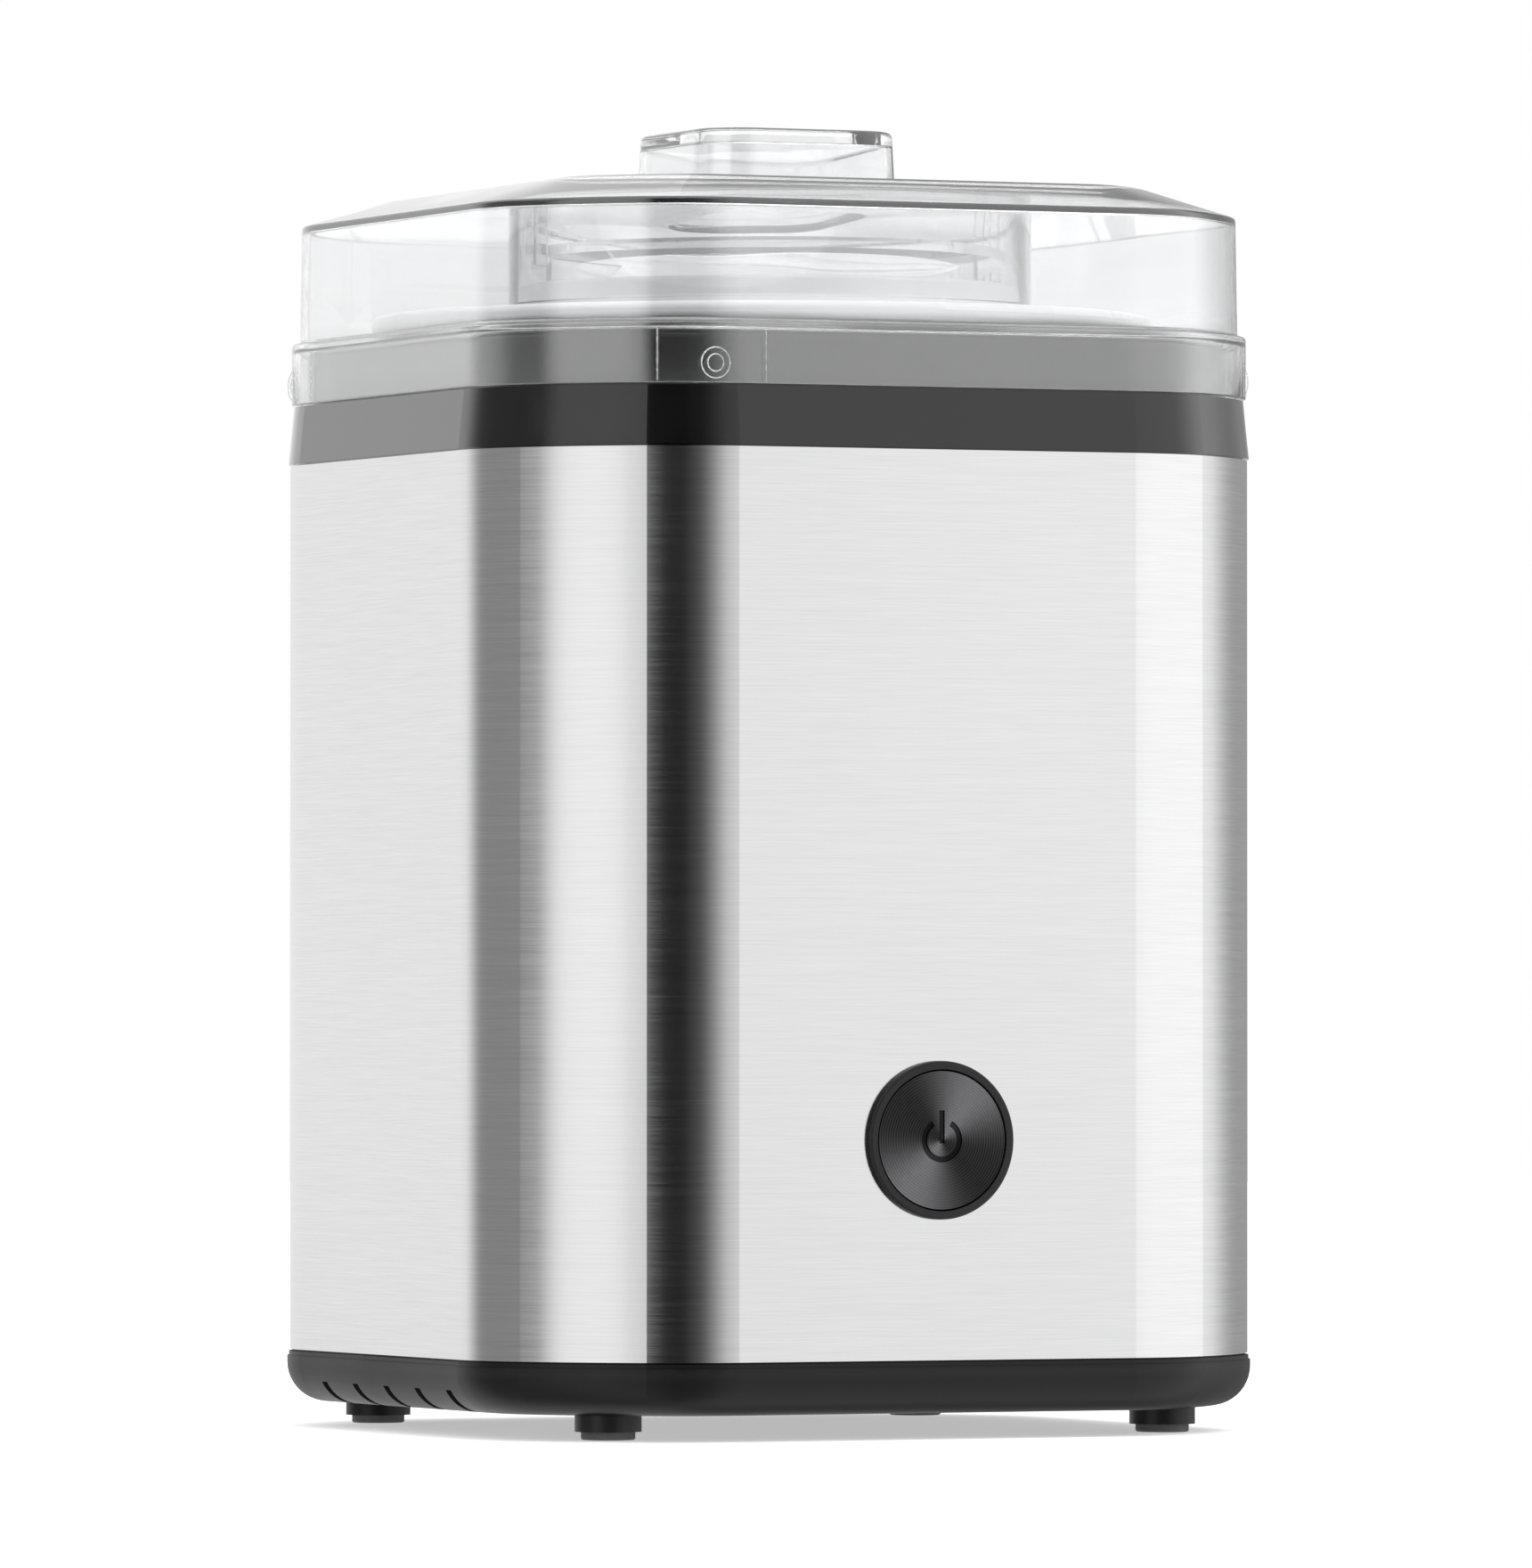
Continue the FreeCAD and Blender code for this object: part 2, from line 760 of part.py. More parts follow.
def gearbox_screws():
    head_top = case_top - case_ear_thickness
    tip = head_top + gearbox_screw_length
    screws = []
    for x, y in case_ear_places():
        head = cylinder(2 * gearbox_screw_radius, head_top - screw_head_height, head_top, x, y)
        screws.append(head.fuse(cylinder(gearbox_screw_radius, head_top, tip, x, y)))
    return Part.makeCompound(screws)


def output_bushes():
    bore = output_shaft_radius + running_clearance
    lower = tube(bush_outer_radius, bore, case_floor_bottom, lower_bush_top)
    upper = tube(bush_outer_radius, bore, upper_bush_bottom, upper_bush_top)
    return Part.makeCompound([lower, upper])


def shaft_seal():
    return tube(seal_outer_radius, seal_inner_radius, liner_floor_top, seal_top)


def axle_pin():
    return cylinder(axle_pin_radius, case_floor_bottom, cover_top - axle_pin_recess, idler_x, idler_y)


# ================================================================ gear train
def output_gear():
    wheel = gear(output_teeth, drive_module, output_gear_bottom, output_gear_top, 0.0)
    for bottom, top in ((output_gear_bottom, output_web_bottom), (output_web_top, output_gear_top)):
        wheel = wheel.cut(tube(output_rim_radius, output_hub_radius, bottom, top))
    for k in range(output_web_hole_count):
        x, y = polar(output_web_hole_circle, 360 * k / output_web_hole_count)
        wheel = wheel.cut(cylinder(output_web_hole_radius, output_web_bottom, output_web_top, x, y))
    wheel = wheel.fuse(cylinder(output_hub_radius, output_hub_bottom, output_hub_top))
    bore = cylinder(output_shaft_radius + press_clearance, output_hub_bottom, output_hub_top)
    return wheel.cut(bore).removeSplitter()


def output_shaft():
    return cylinder(output_shaft_radius, output_shaft_bottom, output_shaft_top)


def shaft_clips():
    inner = output_shaft_radius + press_clearance
    lower_bottom = lower_bush_top + moving_gap
    lower = tube(clip_radius, inner, lower_bottom, lower_bottom + clip_thickness)
    upper_bottom = output_hub_top + clip_gap
    upper = tube(clip_radius, inner, upper_bottom, upper_bottom + clip_thickness)
    return Part.makeCompound([lower, upper])


def reduction_gear():
    wheel = gear(idler_teeth, motor_module, idler_gear_bottom, idler_gear_top, 0.0, idler_x, idler_y)
    pinion = gear(idler_pinion_teeth, drive_module, idler_gear_top, idler_pinion_top, idler_pinion_phase,
                  idler_x, idler_y)
    hub = cylinder(idler_hub_radius, idler_bottom, idler_top, idler_x, idler_y)
    bore = cylinder(axle_pin_radius + running_clearance, idler_bottom, idler_top, idler_x, idler_y)
    return wheel.fuse(pinion).fuse(hub).cut(bore).removeSplitter()


def motor_pinion():
    pinion = gear(motor_pinion_teeth, motor_module, motor_pinion_bottom, motor_pinion_top, motor_pinion_phase,
                  motor_x, motor_y)
    return pinion.cut(cylinder(motor_shaft_radius + press_clearance, motor_pinion_bottom, motor_pinion_top,
                               motor_x, motor_y))


# ================================================================ motor
def motor_ear_places():
    return [(motor_x, motor_y + side * motor_ear_reach) for side in (-1, 1)]


def motor_shaft():
    return cylinder(motor_shaft_radius, motor_shaft_bottom, motor_shaft_top, motor_x, motor_y)


def motor_rotor():
    return tube(motor_rotor_radius, motor_shaft_radius + press_clearance, motor_rotor_bottom, motor_rotor_top,
                motor_x, motor_y)


def motor_windings():
    return tube(stator_outer_radius, stator_inner_radius, stator_bottom, stator_top, motor_x, motor_y)


def motor_can():
    can = cylinder(motor_radius, motor_bottom, motor_can_top, motor_x, motor_y)
    can = can.cut(cylinder(stator_outer_radius + press_clearance, motor_bottom + 2 * motor_can_wall,
                           motor_can_top, motor_x, motor_y))
    pocket_bottom = motor_bottom + motor_can_wall
    return can.cut(cylinder(motor_bearing_radius, pocket_bottom, motor_can_top, motor_x, motor_y))


def motor_end_plate():
    plate = cylinder(motor_radius, motor_can_top, case_floor_bottom, motor_x, motor_y)
    for x, y in motor_ear_places():
        low_y = min(y, motor_y)
        high_y = max(y, motor_y)
        arm = box(x - motor_ear_radius, x + motor_ear_radius, low_y, high_y, motor_can_top, case_floor_bottom)
        plate = plate.fuse(arm).fuse(cylinder(motor_ear_radius, motor_can_top, case_floor_bottom, x, y))
    plate = plate.cut(cylinder(motor_shaft_radius + running_clearance, motor_can_top, case_floor_bottom,
                               motor_x, motor_y))
    for x, y in motor_ear_places():
        plate = plate.cut(cylinder(motor_screw_hole, motor_can_top, case_floor_bottom, x, y))
    return plate.removeSplitter()


def motor_screws():
    tip = motor_can_top + motor_screw_length
    screws = []
    for x, y in motor_ear_places():
        head = cylinder(2 * motor_screw_radius, motor_can_top - screw_head_height, motor_can_top, x, y)
        screws.append(head.fuse(cylinder(motor_screw_radius, motor_can_top, tip, x, y)))
    return Part.makeCompound(screws)


# ================================================================ drive coupler and freezer bowl
def drive_coupler():
    hub = hexagon(coupler_flats, coupler_disc_top, coupler_top)
    hub = hub.makeChamfer(coupler_chamfer, edges_at_height(hub, coupler_top))
    hub = hub.fuse(cylinder(coupler_disc_radius, coupler_disc_bottom, coupler_disc_top))
    bore_top = output_shaft_top + coupler_bore_room
    bore = cylinder(output_shaft_radius + press_clearance, coupler_disc_bottom, bore_top)
    return hub.cut(bore).removeSplitter()


def bowl_drive_socket():
    socket = cylinder(socket_outer_radius, bowl_bottom, socket_top)
    return socket.cut(hexagon(coupler_flats + 2 * moving_gap, bowl_bottom, socket_top - socket_roof))


def bowl_shell_radius(z):
    share = (z - bowl_bottom) / (flange_bottom - bowl_bottom)
    return bowl_shell_bottom_radius + (bowl_shell_top_radius - bowl_shell_bottom_radius) * share


def bowl_outer_shell():
    outer = cone(bowl_shell_bottom_radius, bowl_shell_top_radius, bowl_bottom, flange_bottom)
    outer = round_rims(outer, bowl_bottom, bowl_shell_edge_radius)
    inner = cone(bowl_shell_radius(bowl_floor_top) - bowl_shell_wall, bowl_shell_top_radius - bowl_shell_wall,
                 bowl_floor_top, flange_bottom)
    inner = round_rims(inner, bowl_floor_top, bowl_shell_edge_radius - bowl_shell_wall)
    shell = outer.cut(inner)
    return shell.cut(cylinder(socket_outer_radius + press_clearance, bowl_bottom, bowl_floor_top))


def bowl_rim():
    flange = cylinder(flange_radius, flange_bottom, flange_top)
    flange = round_rims(flange, flange_top, flange_edge_radius)
    flange = round_rims(flange, flange_bottom, flange_edge_radius)
    lip = cylinder(lip_outer_radius, flange_top, lip_top)
    rim = flange.fuse(round_rims(lip, lip_top, lip_edge_radius))
    skirt_outer = bowl_shell_radius(flange_bottom - rim_skirt_depth) - bowl_shell_wall - press_clearance
    skirt = tube(skirt_outer, skirt_outer - rim_skirt_wall, flange_bottom - rim_skirt_depth, flange_bottom)
    rim = rim.fuse(skirt)
    return rim.cut(cylinder(lip_inner_radius, flange_bottom, lip_top)).removeSplitter()


def bowl_inner_pot():
    outer = cylinder(pot_outer_radius, pot_bottom, pot_top)
    outer = round_rims(outer, pot_bottom, pot_corner_radius)
    inner = cylinder(pot_inner_radius, pot_bottom + pot_floor, pot_top)
    inner = round_rims(inner, pot_bottom + pot_floor, pot_corner_radius - pot_floor)
    return outer.cut(inner)


def coolant_fill():
    """The gel that freezes, in the space between the pot and the outer shell."""
    bottom = socket_top + coolant_gap
    base_radius = bowl_shell_radius(bottom) - bowl_shell_wall - coolant_gap
    top_radius = bowl_shell_radius(coolant_top) - bowl_shell_wall - coolant_gap
    gel = cone(base_radius, top_radius, bottom, coolant_top)
    core = cylinder(pot_outer_radius + coolant_gap, bottom, coolant_top)
    return gel.cut(core)


def bowl_seals():
    """Two rubber rings under the rim: one on the pot, one against the outer shell."""
    height = flange_bottom - rim_skirt_depth - bowl_seal_radius - seal_gap
    shell_radius = bowl_shell_radius(height) - bowl_shell_wall - bowl_seal_radius - 2 * seal_gap
    outer = Part.makeTorus(shell_radius, bowl_seal_radius, vec(0, 0, height))
    pot_radius = pot_outer_radius + bowl_seal_radius + press_clearance
    pot_seal_height = flange_bottom - bowl_seal_radius - seal_gap
    inner = Part.makeTorus(pot_radius, bowl_seal_radius, vec(0, 0, pot_seal_height))
    return Part.makeCompound([outer, inner])


# ================================================================ lid
def lid_top(outer_inset, drop):
    """The solid under the lid's sloped top, lowered by drop."""
    shoulder = body_outline(outer_inset, shoulder_height - drop)
    shrink = outer_inset - upper_wall_top_inset
    plateau = rounded_outline(plateau_half_x - shrink, plateau_half_y - shrink,
                              plateau_tight_radius - shrink, plateau_broad_radius - shrink,
                              plateau_height - drop)
    return Part.makeLoft([shoulder, plateau], True, True)


def snap_tab_places():
    """Centre and outward direction of each tab, turned a quarter from one side to the next."""
    return (
        (-tab_offset, -half_depth, 0.0, -1.0),
        (-half_width, tab_offset, -1.0, 0.0),
        (half_width, -tab_offset, 1.0, 0.0),
        (tab_offset, half_depth, 0.0, 1.0),
    )


def lid_cover():
    """The thin walls: skirt, upper wall, sloped shoulder and flat top."""
    outer = body_block(skirt_inset, skirt_bottom, skirt_top)
    outer = outer.fuse(body_taper(upper_wall_bottom_inset, skirt_top, upper_wall_top_inset, shoulder_height))
    outer = outer.fuse(lid_top(upper_wall_top_inset, 0.0))
    hollow = body_block(skirt_inset + skirt_wall, skirt_bottom, skirt_top - skirt_wall)
    inner_bottom = upper_wall_bottom_inset + upper_wall_thickness
    inner_top = upper_wall_top_inset + upper_wall_thickness
    hollow = hollow.fuse(body_taper(inner_bottom, skirt_bottom, inner_top, shoulder_height - lid_wall))
    hollow = hollow.fuse(lid_top(inner_top, lid_wall))
    return outer.cut(hollow)


def key_ribs():
    """Pairs of upright ribs inside the splash cylinder that stop the paddle from turning."""
    ribs = []
    for side in (-1, 1):
        ends = sorted((side * key_rib_inner_radius, side * (splash_outer_radius - key_rib_root)))
        for edge in (-1, 1):
            y = edge * key_rib_offset
            ribs.append(box(ends[0], ends[1], y - key_rib_thickness / 2, y + key_rib_thickness / 2,
                            key_rib_bottom, plateau_height - lid_wall / 2))
    return ribs


def tab_slits(x, y, out_x, out_y):
    """The two slits that free one snap tab from the skirt."""
    wide_x = tab_slit_depth if out_x else tab_slit / 2
    wide_y = tab_slit_depth if out_y else tab_slit / 2
    slits = []
    for edge in (-1, 1):
        slit_x = x + edge * abs(out_y) * tab_width / 2
        slit_y = y + edge * abs(out_x) * tab_width / 2
        slits.append(box(slit_x - wide_x, slit_x + wide_x, slit_y - wide_y, slit_y + wide_y,
                         skirt_bottom, skirt_top - skirt_wall))
    return slits


def tab_boss(x, y, out_x, out_y, inset, radius, depth):
    """A round disc at a snap tab, starting inset from the body's face and running inward."""
    start = vec(x - out_x * inset, y - out_y * inset, boss_height)
    return Part.makeCylinder(radius, depth, start, vec(-out_x, -out_y, 0))


def lid():
    middle_of_top = plateau_height - lid_wall / 2
    splash = tube(splash_outer_radius, splash_outer_radius - splash_wall, splash_bottom, middle_of_top)
    feed_outer = square_block(feed_half + feed_rim_wall, feed_tight_radius + feed_rim_wall,
                              feed_broad_radius + feed_rim_wall, middle_of_top, feed_rim_top)
    feed_hole = square_block(feed_half, feed_tight_radius, feed_broad_radius, splash_bottom, feed_rim_top)
    cover = lid_cover().fuse(splash).fuse(feed_outer).cut(feed_hole)
    for rib in key_ribs():
        cover = cover.fuse(rib)
    for tab in snap_tab_places():
        for slit in tab_slits(*tab):
            cover = cover.cut(slit)
        root = skirt_inset + skirt_wall - boss_root
        cover = cover.fuse(tab_boss(*tab, root, boss_radius, boss_depth + boss_root))
        cover = cover.cut(tab_boss(*tab, skirt_inset, boss_hollow_radius, boss_hollow_depth))
    return cover.removeSplitter()


def ingredient_cap():
    def outline(shrink, half, z):
        side = half - shrink
        return rounded_outline(side, side, cap_tight_radius - shrink, cap_broad_radius - shrink, z)

    outer = Part.makeLoft([outline(0, cap_half_bottom, cap_bottom), outline(0, cap_half_top, cap_top)],
                          True, True)
    outer = round_rims(outer, cap_top, cap_edge_radius)
    inner = Part.makeLoft([outline(cap_wall, cap_half_bottom, cap_bottom),
                           outline(cap_wall, cap_half_top, cap_top - cap_roof)], True, True)
    return outer.cut(inner)


# ================================================================ paddle
def paddle():
    half = paddle_thickness / 2
    pieces = [tube(paddle_ring_outer, paddle_ring_inner, paddle_ring_bottom, paddle_ring_top)]
    for side in (-1, 1):
        tab_ends = sorted((side * (paddle_ring_outer - paddle_overlap), side * paddle_tab_reach))
        pieces.append(box(tab_ends[0], tab_ends[1], -paddle_tab_width / 2, paddle_tab_width / 2,
                          paddle_ring_bottom, paddle_ring_top))
        outline = [
            (paddle_leg_outer, paddle_ring_bottom),
            (paddle_leg_outer - paddle_leg_width - fin_reach, paddle_ring_bottom),
            (paddle_leg_outer - paddle_leg_width, paddle_ring_bottom - fin_height),
            (paddle_leg_outer - paddle_leg_width, paddle_bottom + paddle_corner_cut + paddle_bar_height),
            (paddle_leg_outer - paddle_corner_cut - paddle_leg_width, paddle_bottom + paddle_bar_height),
            (0.0, paddle_bottom + paddle_bar_height),
            (0.0, paddle_bottom),
            (paddle_leg_outer - paddle_corner_cut, paddle_bottom),
            (paddle_leg_outer, paddle_bottom + paddle_corner_cut),
            (paddle_leg_outer, paddle_ring_bottom),
        ]
        points = [vec(side * x, -half, z) for x, z in outline]
        pieces.append(Part.Face(Part.makePolygon(points)).extrude(vec(0, paddle_thickness, 0)))
    inner_reach = paddle_leg_outer - paddle_leg_width + paddle_overlap
    for k, level in enumerate(paddle_bar_levels):
        side = 1 if k % 2 else -1
        bar_ends = sorted((0.0, side * inner_reach))
        pieces.append(box(bar_ends[0], bar_ends[1], -half, half, level, level + paddle_bar_height))
    pieces.append(cylinder(paddle_hub_radius, paddle_bottom, max(paddle_bar_levels) + paddle_bar_height))
    return fused(pieces)


# ================================================================ power button
front = -half_depth
bezel_front = front - bezel_proud
face_front = bezel_front + button_face_recess
face_back = face_front + button_face_thickness
bezel_back = front + bezel_depth
stem_back = bezel_back + button_stem_proud
switch_front = bezel_back + button_travel + moving_gap + switch_spacer_room
switch_back = switch_front + switch_depth


def button_bezel():
    bezel = along_y(bezel_outer_radius, bezel_front, front)
    rim = [e for e in bezel.Edges if abs(e.BoundBox.YMin - bezel_front) < 1e-4 and e.BoundBox.YLength < 1e-4]
    bezel = bezel.makeFillet(bezel_edge_radius, rim)
    bezel = bezel.fuse(along_y(bezel_barrel_radius, front, bezel_back))
    bezel = bezel.cut(along_y(bezel_inner_radius, bezel_front, bezel_back - bezel_floor))
    bezel = bezel.cut(along_y(button_stem_radius + running_clearance, bezel_back - bezel_floor, bezel_back))
    for x, z in switch_screw_places():
        hole_start = bezel_back - bezel_hole_depth
        bezel = bezel.cut(along_y(switch_screw_hole, hole_start, bezel_back, x, z))
    return bezel.removeSplitter()


def power_symbol(start_y, end_y):
    """A broken ring with an upright bar through the gap."""
    outer = symbol_ring_radius + symbol_stroke / 2
    inner = symbol_ring_radius - symbol_stroke / 2
    ring = along_y(outer, start_y, end_y).cut(along_y(inner, start_y, end_y))
    half_gap = math.radians(symbol_gap_angle / 2)
    reach = 2 * outer
    left = vec(-reach * math.sin(half_gap), start_y, button_height + reach * math.cos(half_gap))
    right = vec(reach * math.sin(half_gap), start_y, button_height + reach * math.cos(half_gap))
    centre = vec(0, start_y, button_height)
    wedge = Part.Face(Part.makePolygon([centre, left, right, centre])).extrude(vec(0, end_y - start_y, 0))
    half_stroke = symbol_stroke / 2
    bar = box(-half_stroke, half_stroke, start_y, end_y,
              button_height + symbol_bar_bottom, button_height + symbol_bar_top)
    return ring.cut(wedge).fuse(bar)


def button_face():
    face = along_y(button_face_radius, face_front, face_back)
    return face.cut(power_symbol(face_front, face_front + symbol_depth))


def button_stem():
    cup_back = face_back + button_cup_depth
    cup = along_y(button_cup_radius, face_back, cup_back)
    cup = cup.cut(along_y(button_cup_radius - button_cup_wall, face_back + button_cup_wall, cup_back))
    stem = along_y(button_stem_radius, face_back + button_cup_wall / 2, stem_back)
    return cup.fuse(stem).removeSplitter()


def button_spring():
    start = face_back + button_cup_wall + spring_wire_radius + spring_seat_gap
    end = bezel_back - bezel_floor - spring_wire_radius - spring_seat_gap
    pitch = (end - start) / spring_turns
    path = Part.makeHelix(pitch, end - start, spring_coil_radius)
    section = Part.Wire(Part.makeCircle(spring_wire_radius, vec(spring_coil_radius, 0, 0), vec(0, 1, 0)))
    spring = Part.Wire(path.Edges).makePipeShell([section], True, True)
    spring.rotate(vec(0, 0, 0), vec(1, 0, 0), -90)
    spring.translate(vec(0, start, button_height))
    return spring


def switch_plunger():
    return along_y(plunger_radius, stem_back, stem_back + plunger_length)


def switch_screw_places():
    return [(0.0, button_height + side * switch_screw_reach) for side in (-1, 1)]


def switch_body():
    ears = box(-switch_ear_half_width, switch_ear_half_width, bezel_back, switch_front,
               button_height - switch_ear_reach, button_height + switch_ear_reach)
    body = box(-switch_width / 2, switch_width / 2, switch_front, switch_back,
               button_height - switch_height / 2, button_height + switch_height / 2)
    body = ears.fuse(body)
    body = body.cut(along_y(button_stem_radius + stem_room, bezel_back, switch_front))
    bore_end = stem_back + plunger_length + button_travel + screw_tip_room
    body = body.cut(along_y(plunger_radius + running_clearance, bezel_back, bore_end))
    for x, z in switch_screw_places():
        body = body.cut(along_y(switch_screw_hole, bezel_back, switch_front, x, z))
    for side in (-1, 1):
        x = side * switch_width / 4
        half = switch_terminal_width / 2
        body = body.fuse(box(x - half, x + half, switch_back, switch_back + switch_terminal_length,
                             button_height - switch_terminal_half, button_height + switch_terminal_half))
    return body.removeSplitter()


def switch_screws():
    screws = []
    for x, z in switch_screw_places():
        head = along_y(2 * switch_screw_radius, switch_front, switch_front + small_head_height, x, z)
        tip = bezel_back - bezel_hole_depth + screw_tip_gap
        shank = along_y(switch_screw_radius, tip, switch_front, x, z)
        screws.append(head.fuse(shank))
    return Part.makeCompound(screws)


# ================================================================ electrical parts
def cord_gland():
    back = half_depth
    outer_face = back + gland_proud
    inner_face = back - steel_thickness - gland_inner_flange
    flange = along_y(gland_flange_radius, back, outer_face, gland_x, gland_height)
    rim = [e for e in flange.Edges if abs(e.BoundBox.YMax - outer_face) < 1e-4 and e.BoundBox.YLength < 1e-4]
    flange = flange.makeFillet(gland_edge_radius, rim)
    barrel = along_y(gland_barrel_radius, inner_face, back, gland_x, gland_height)
    inner = along_y(gland_inner_radius, inner_face, back - steel_thickness, gland_x, gland_height)
    bore = along_y(gland_bore_radius, inner_face, outer_face, gland_x, gland_height)
    return flange.fuse(barrel).fuse(inner).cut(bore).removeSplitter()


def circuit_board():
    half_x = board_width / 2
    half_y = board_depth / 2
    board = box(board_x - half_x, board_x + half_x, board_y - half_y, board_y + half_y,
                board_height, board_height + board_thickness)
    for x, y in board_holes():
        hole = cylinder(board_screw_hole, board_height, board_height + board_thickness, x, y)
        board = board.cut(hole)
    return board


def block_on_board(x, y, width, depth, height):
    top = board_height + board_thickness
    return box(x - width / 2, x + width / 2, y - depth / 2, y + depth / 2, top, top + height)


def plug_centre(side):
    """Where the two plugs stand: the front one feeds the switch, the back one the motor."""
    return board_x - plug_shift_x, board_y + side * plug_shift_y


def board_parts():
    """Relay, capacitor, fuse holder and two plugs on the board."""
    top = board_height + board_thickness
    relay = block_on_board(board_x - relay_shift_x, board_y, relay_width, relay_depth, relay_height)
    capacitor = cylinder(capacitor_radius, top, top + capacitor_height,
                         board_x + capacitor_shift_x, board_y + capacitor_shift_y)
    fuse = block_on_board(board_x + fuse_shift_x, board_y - fuse_shift_y,
                          fuse_length, fuse_width, fuse_height)
    plugs = [block_on_board(*plug_centre(side), plug_width, plug_depth, plug_height) for side in (-1, 1)]
    return Part.makeCompound([relay, capacitor, fuse] + plugs)


def board_screws():
    top = board_height + board_thickness
    screws = []
    for x, y in board_holes():
        head = cylinder(2 * board_screw_radius, top, top + small_head_height, x, y)
        screws.append(head.fuse(cylinder(board_screw_radius, top - board_screw_length, top, x, y)))
    return Part.makeCompound(screws)


def lead(points):
    """A round wire along straight runs, with a ball at each turn."""
    pieces = []
    for start, end in zip(points[:-1], points[1:]):
        run = end - start
        pieces.append(Part.makeCylinder(wire_radius, run.Length, start, run))
    for corner in points[1:-1]:
        pieces.append(Part.makeSphere(wire_radius, corner))
    return fused(pieces)


def switch_lead(side):
    plug_x, plug_y = plug_centre(-1)
    plug_top = board_height + board_thickness + plug_height + lead_end_gap
    start_x = plug_x + side * lead_pair_offset
    run_z = plug_top + switch_lead_rise + side * lead_pair_offset
    terminal_x = side * switch_width / 4
    terminal_end = switch_back + switch_terminal_length
    turn_y = terminal_end + switch_lead_reach
    return lead([
        vec(start_x, plug_y, plug_top),
        vec(start_x, plug_y, run_z),
        vec(terminal_x, turn_y, run_z),
        vec(terminal_x, turn_y, button_height),
        vec(terminal_x, terminal_end + lead_end_gap, button_height),
    ])


def motor_lead(side):
    plug_x, plug_y = plug_centre(1)
    plug_top = board_height + board_thickness + plug_height + lead_end_gap
    start_x = plug_x + side * lead_pair_offset
    run_z = motor_lead_height + side * motor_lead_step
    end_y = motor_y + side * motor_lead_spread
    return lead([
        vec(start_x, plug_y, plug_top),
        vec(start_x, plug_y, run_z),
        vec(start_x, end_y, run_z),
        vec(motor_x + motor_radius + motor_lead_gap, end_y, run_z),
    ])


def internal_wires():
    """Leads from the board to the switch terminals and to the motor."""
    sides = (-1, 1)
    return Part.makeCompound([switch_lead(side) for side in sides] + [motor_lead(side) for side in sides])


# ================================================================ export
nodes = {
    "rubber_feet": rubber_feet,
    "foot_cups": foot_cups,
    "tray_screws": tray_screws,
    "base_tray": base_tray,
    "tie_posts": tie_posts,
    "steel_sleeve": steel_sleeve,
    "upper_ring": upper_ring,
    "well_liner": well_liner,
    "liner_screws": liner_screws,
    "gearbox_case": gearbox_case,
    "gearbox_cover": gearbox_cover,
    "gearbox_screws": gearbox_screws,
    "output_bushes": output_bushes,
    "shaft_seal": shaft_seal,
    "axle_pin": axle_pin,
    "output_gear": output_gear,
    "output_shaft": output_shaft,
    "shaft_clips": shaft_clips,
    "reduction_gear": reduction_gear,
    "motor_pinion": motor_pinion,
    "motor_shaft": motor_shaft,
    "motor_rotor": motor_rotor,
    "motor_windings": motor_windings,
    "motor_can": motor_can,
    "motor_end_plate": motor_end_plate,
    "motor_screws": motor_screws,
    "drive_coupler": drive_coupler,
    "bowl_drive_socket": bowl_drive_socket,
    "bowl_outer_shell": bowl_outer_shell,
    "bowl_rim": bowl_rim,
    "bowl_inner_pot": bowl_inner_pot,
    "coolant_fill": coolant_fill,
    "bowl_seals": bowl_seals,
    "lid": lid,
    "ingredient_cap": ingredient_cap,
    "paddle": paddle,
    "button_bezel": button_bezel,
    "button_face": button_face,
    "button_stem": button_stem,
    "button_spring": button_spring,
    "switch_plunger": switch_plunger,
    "switch_body": switch_body,
    "switch_screws": switch_screws,
    "cord_gland": cord_gland,
    "circuit_board": circuit_board,
    "board_parts": board_parts,
    "board_screws": board_screws,
    "internal_wires": internal_wires,
}

os.makedirs("parts", exist_ok=True)
for name, make in nodes.items():
    save(name, make())
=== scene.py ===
import json
import math

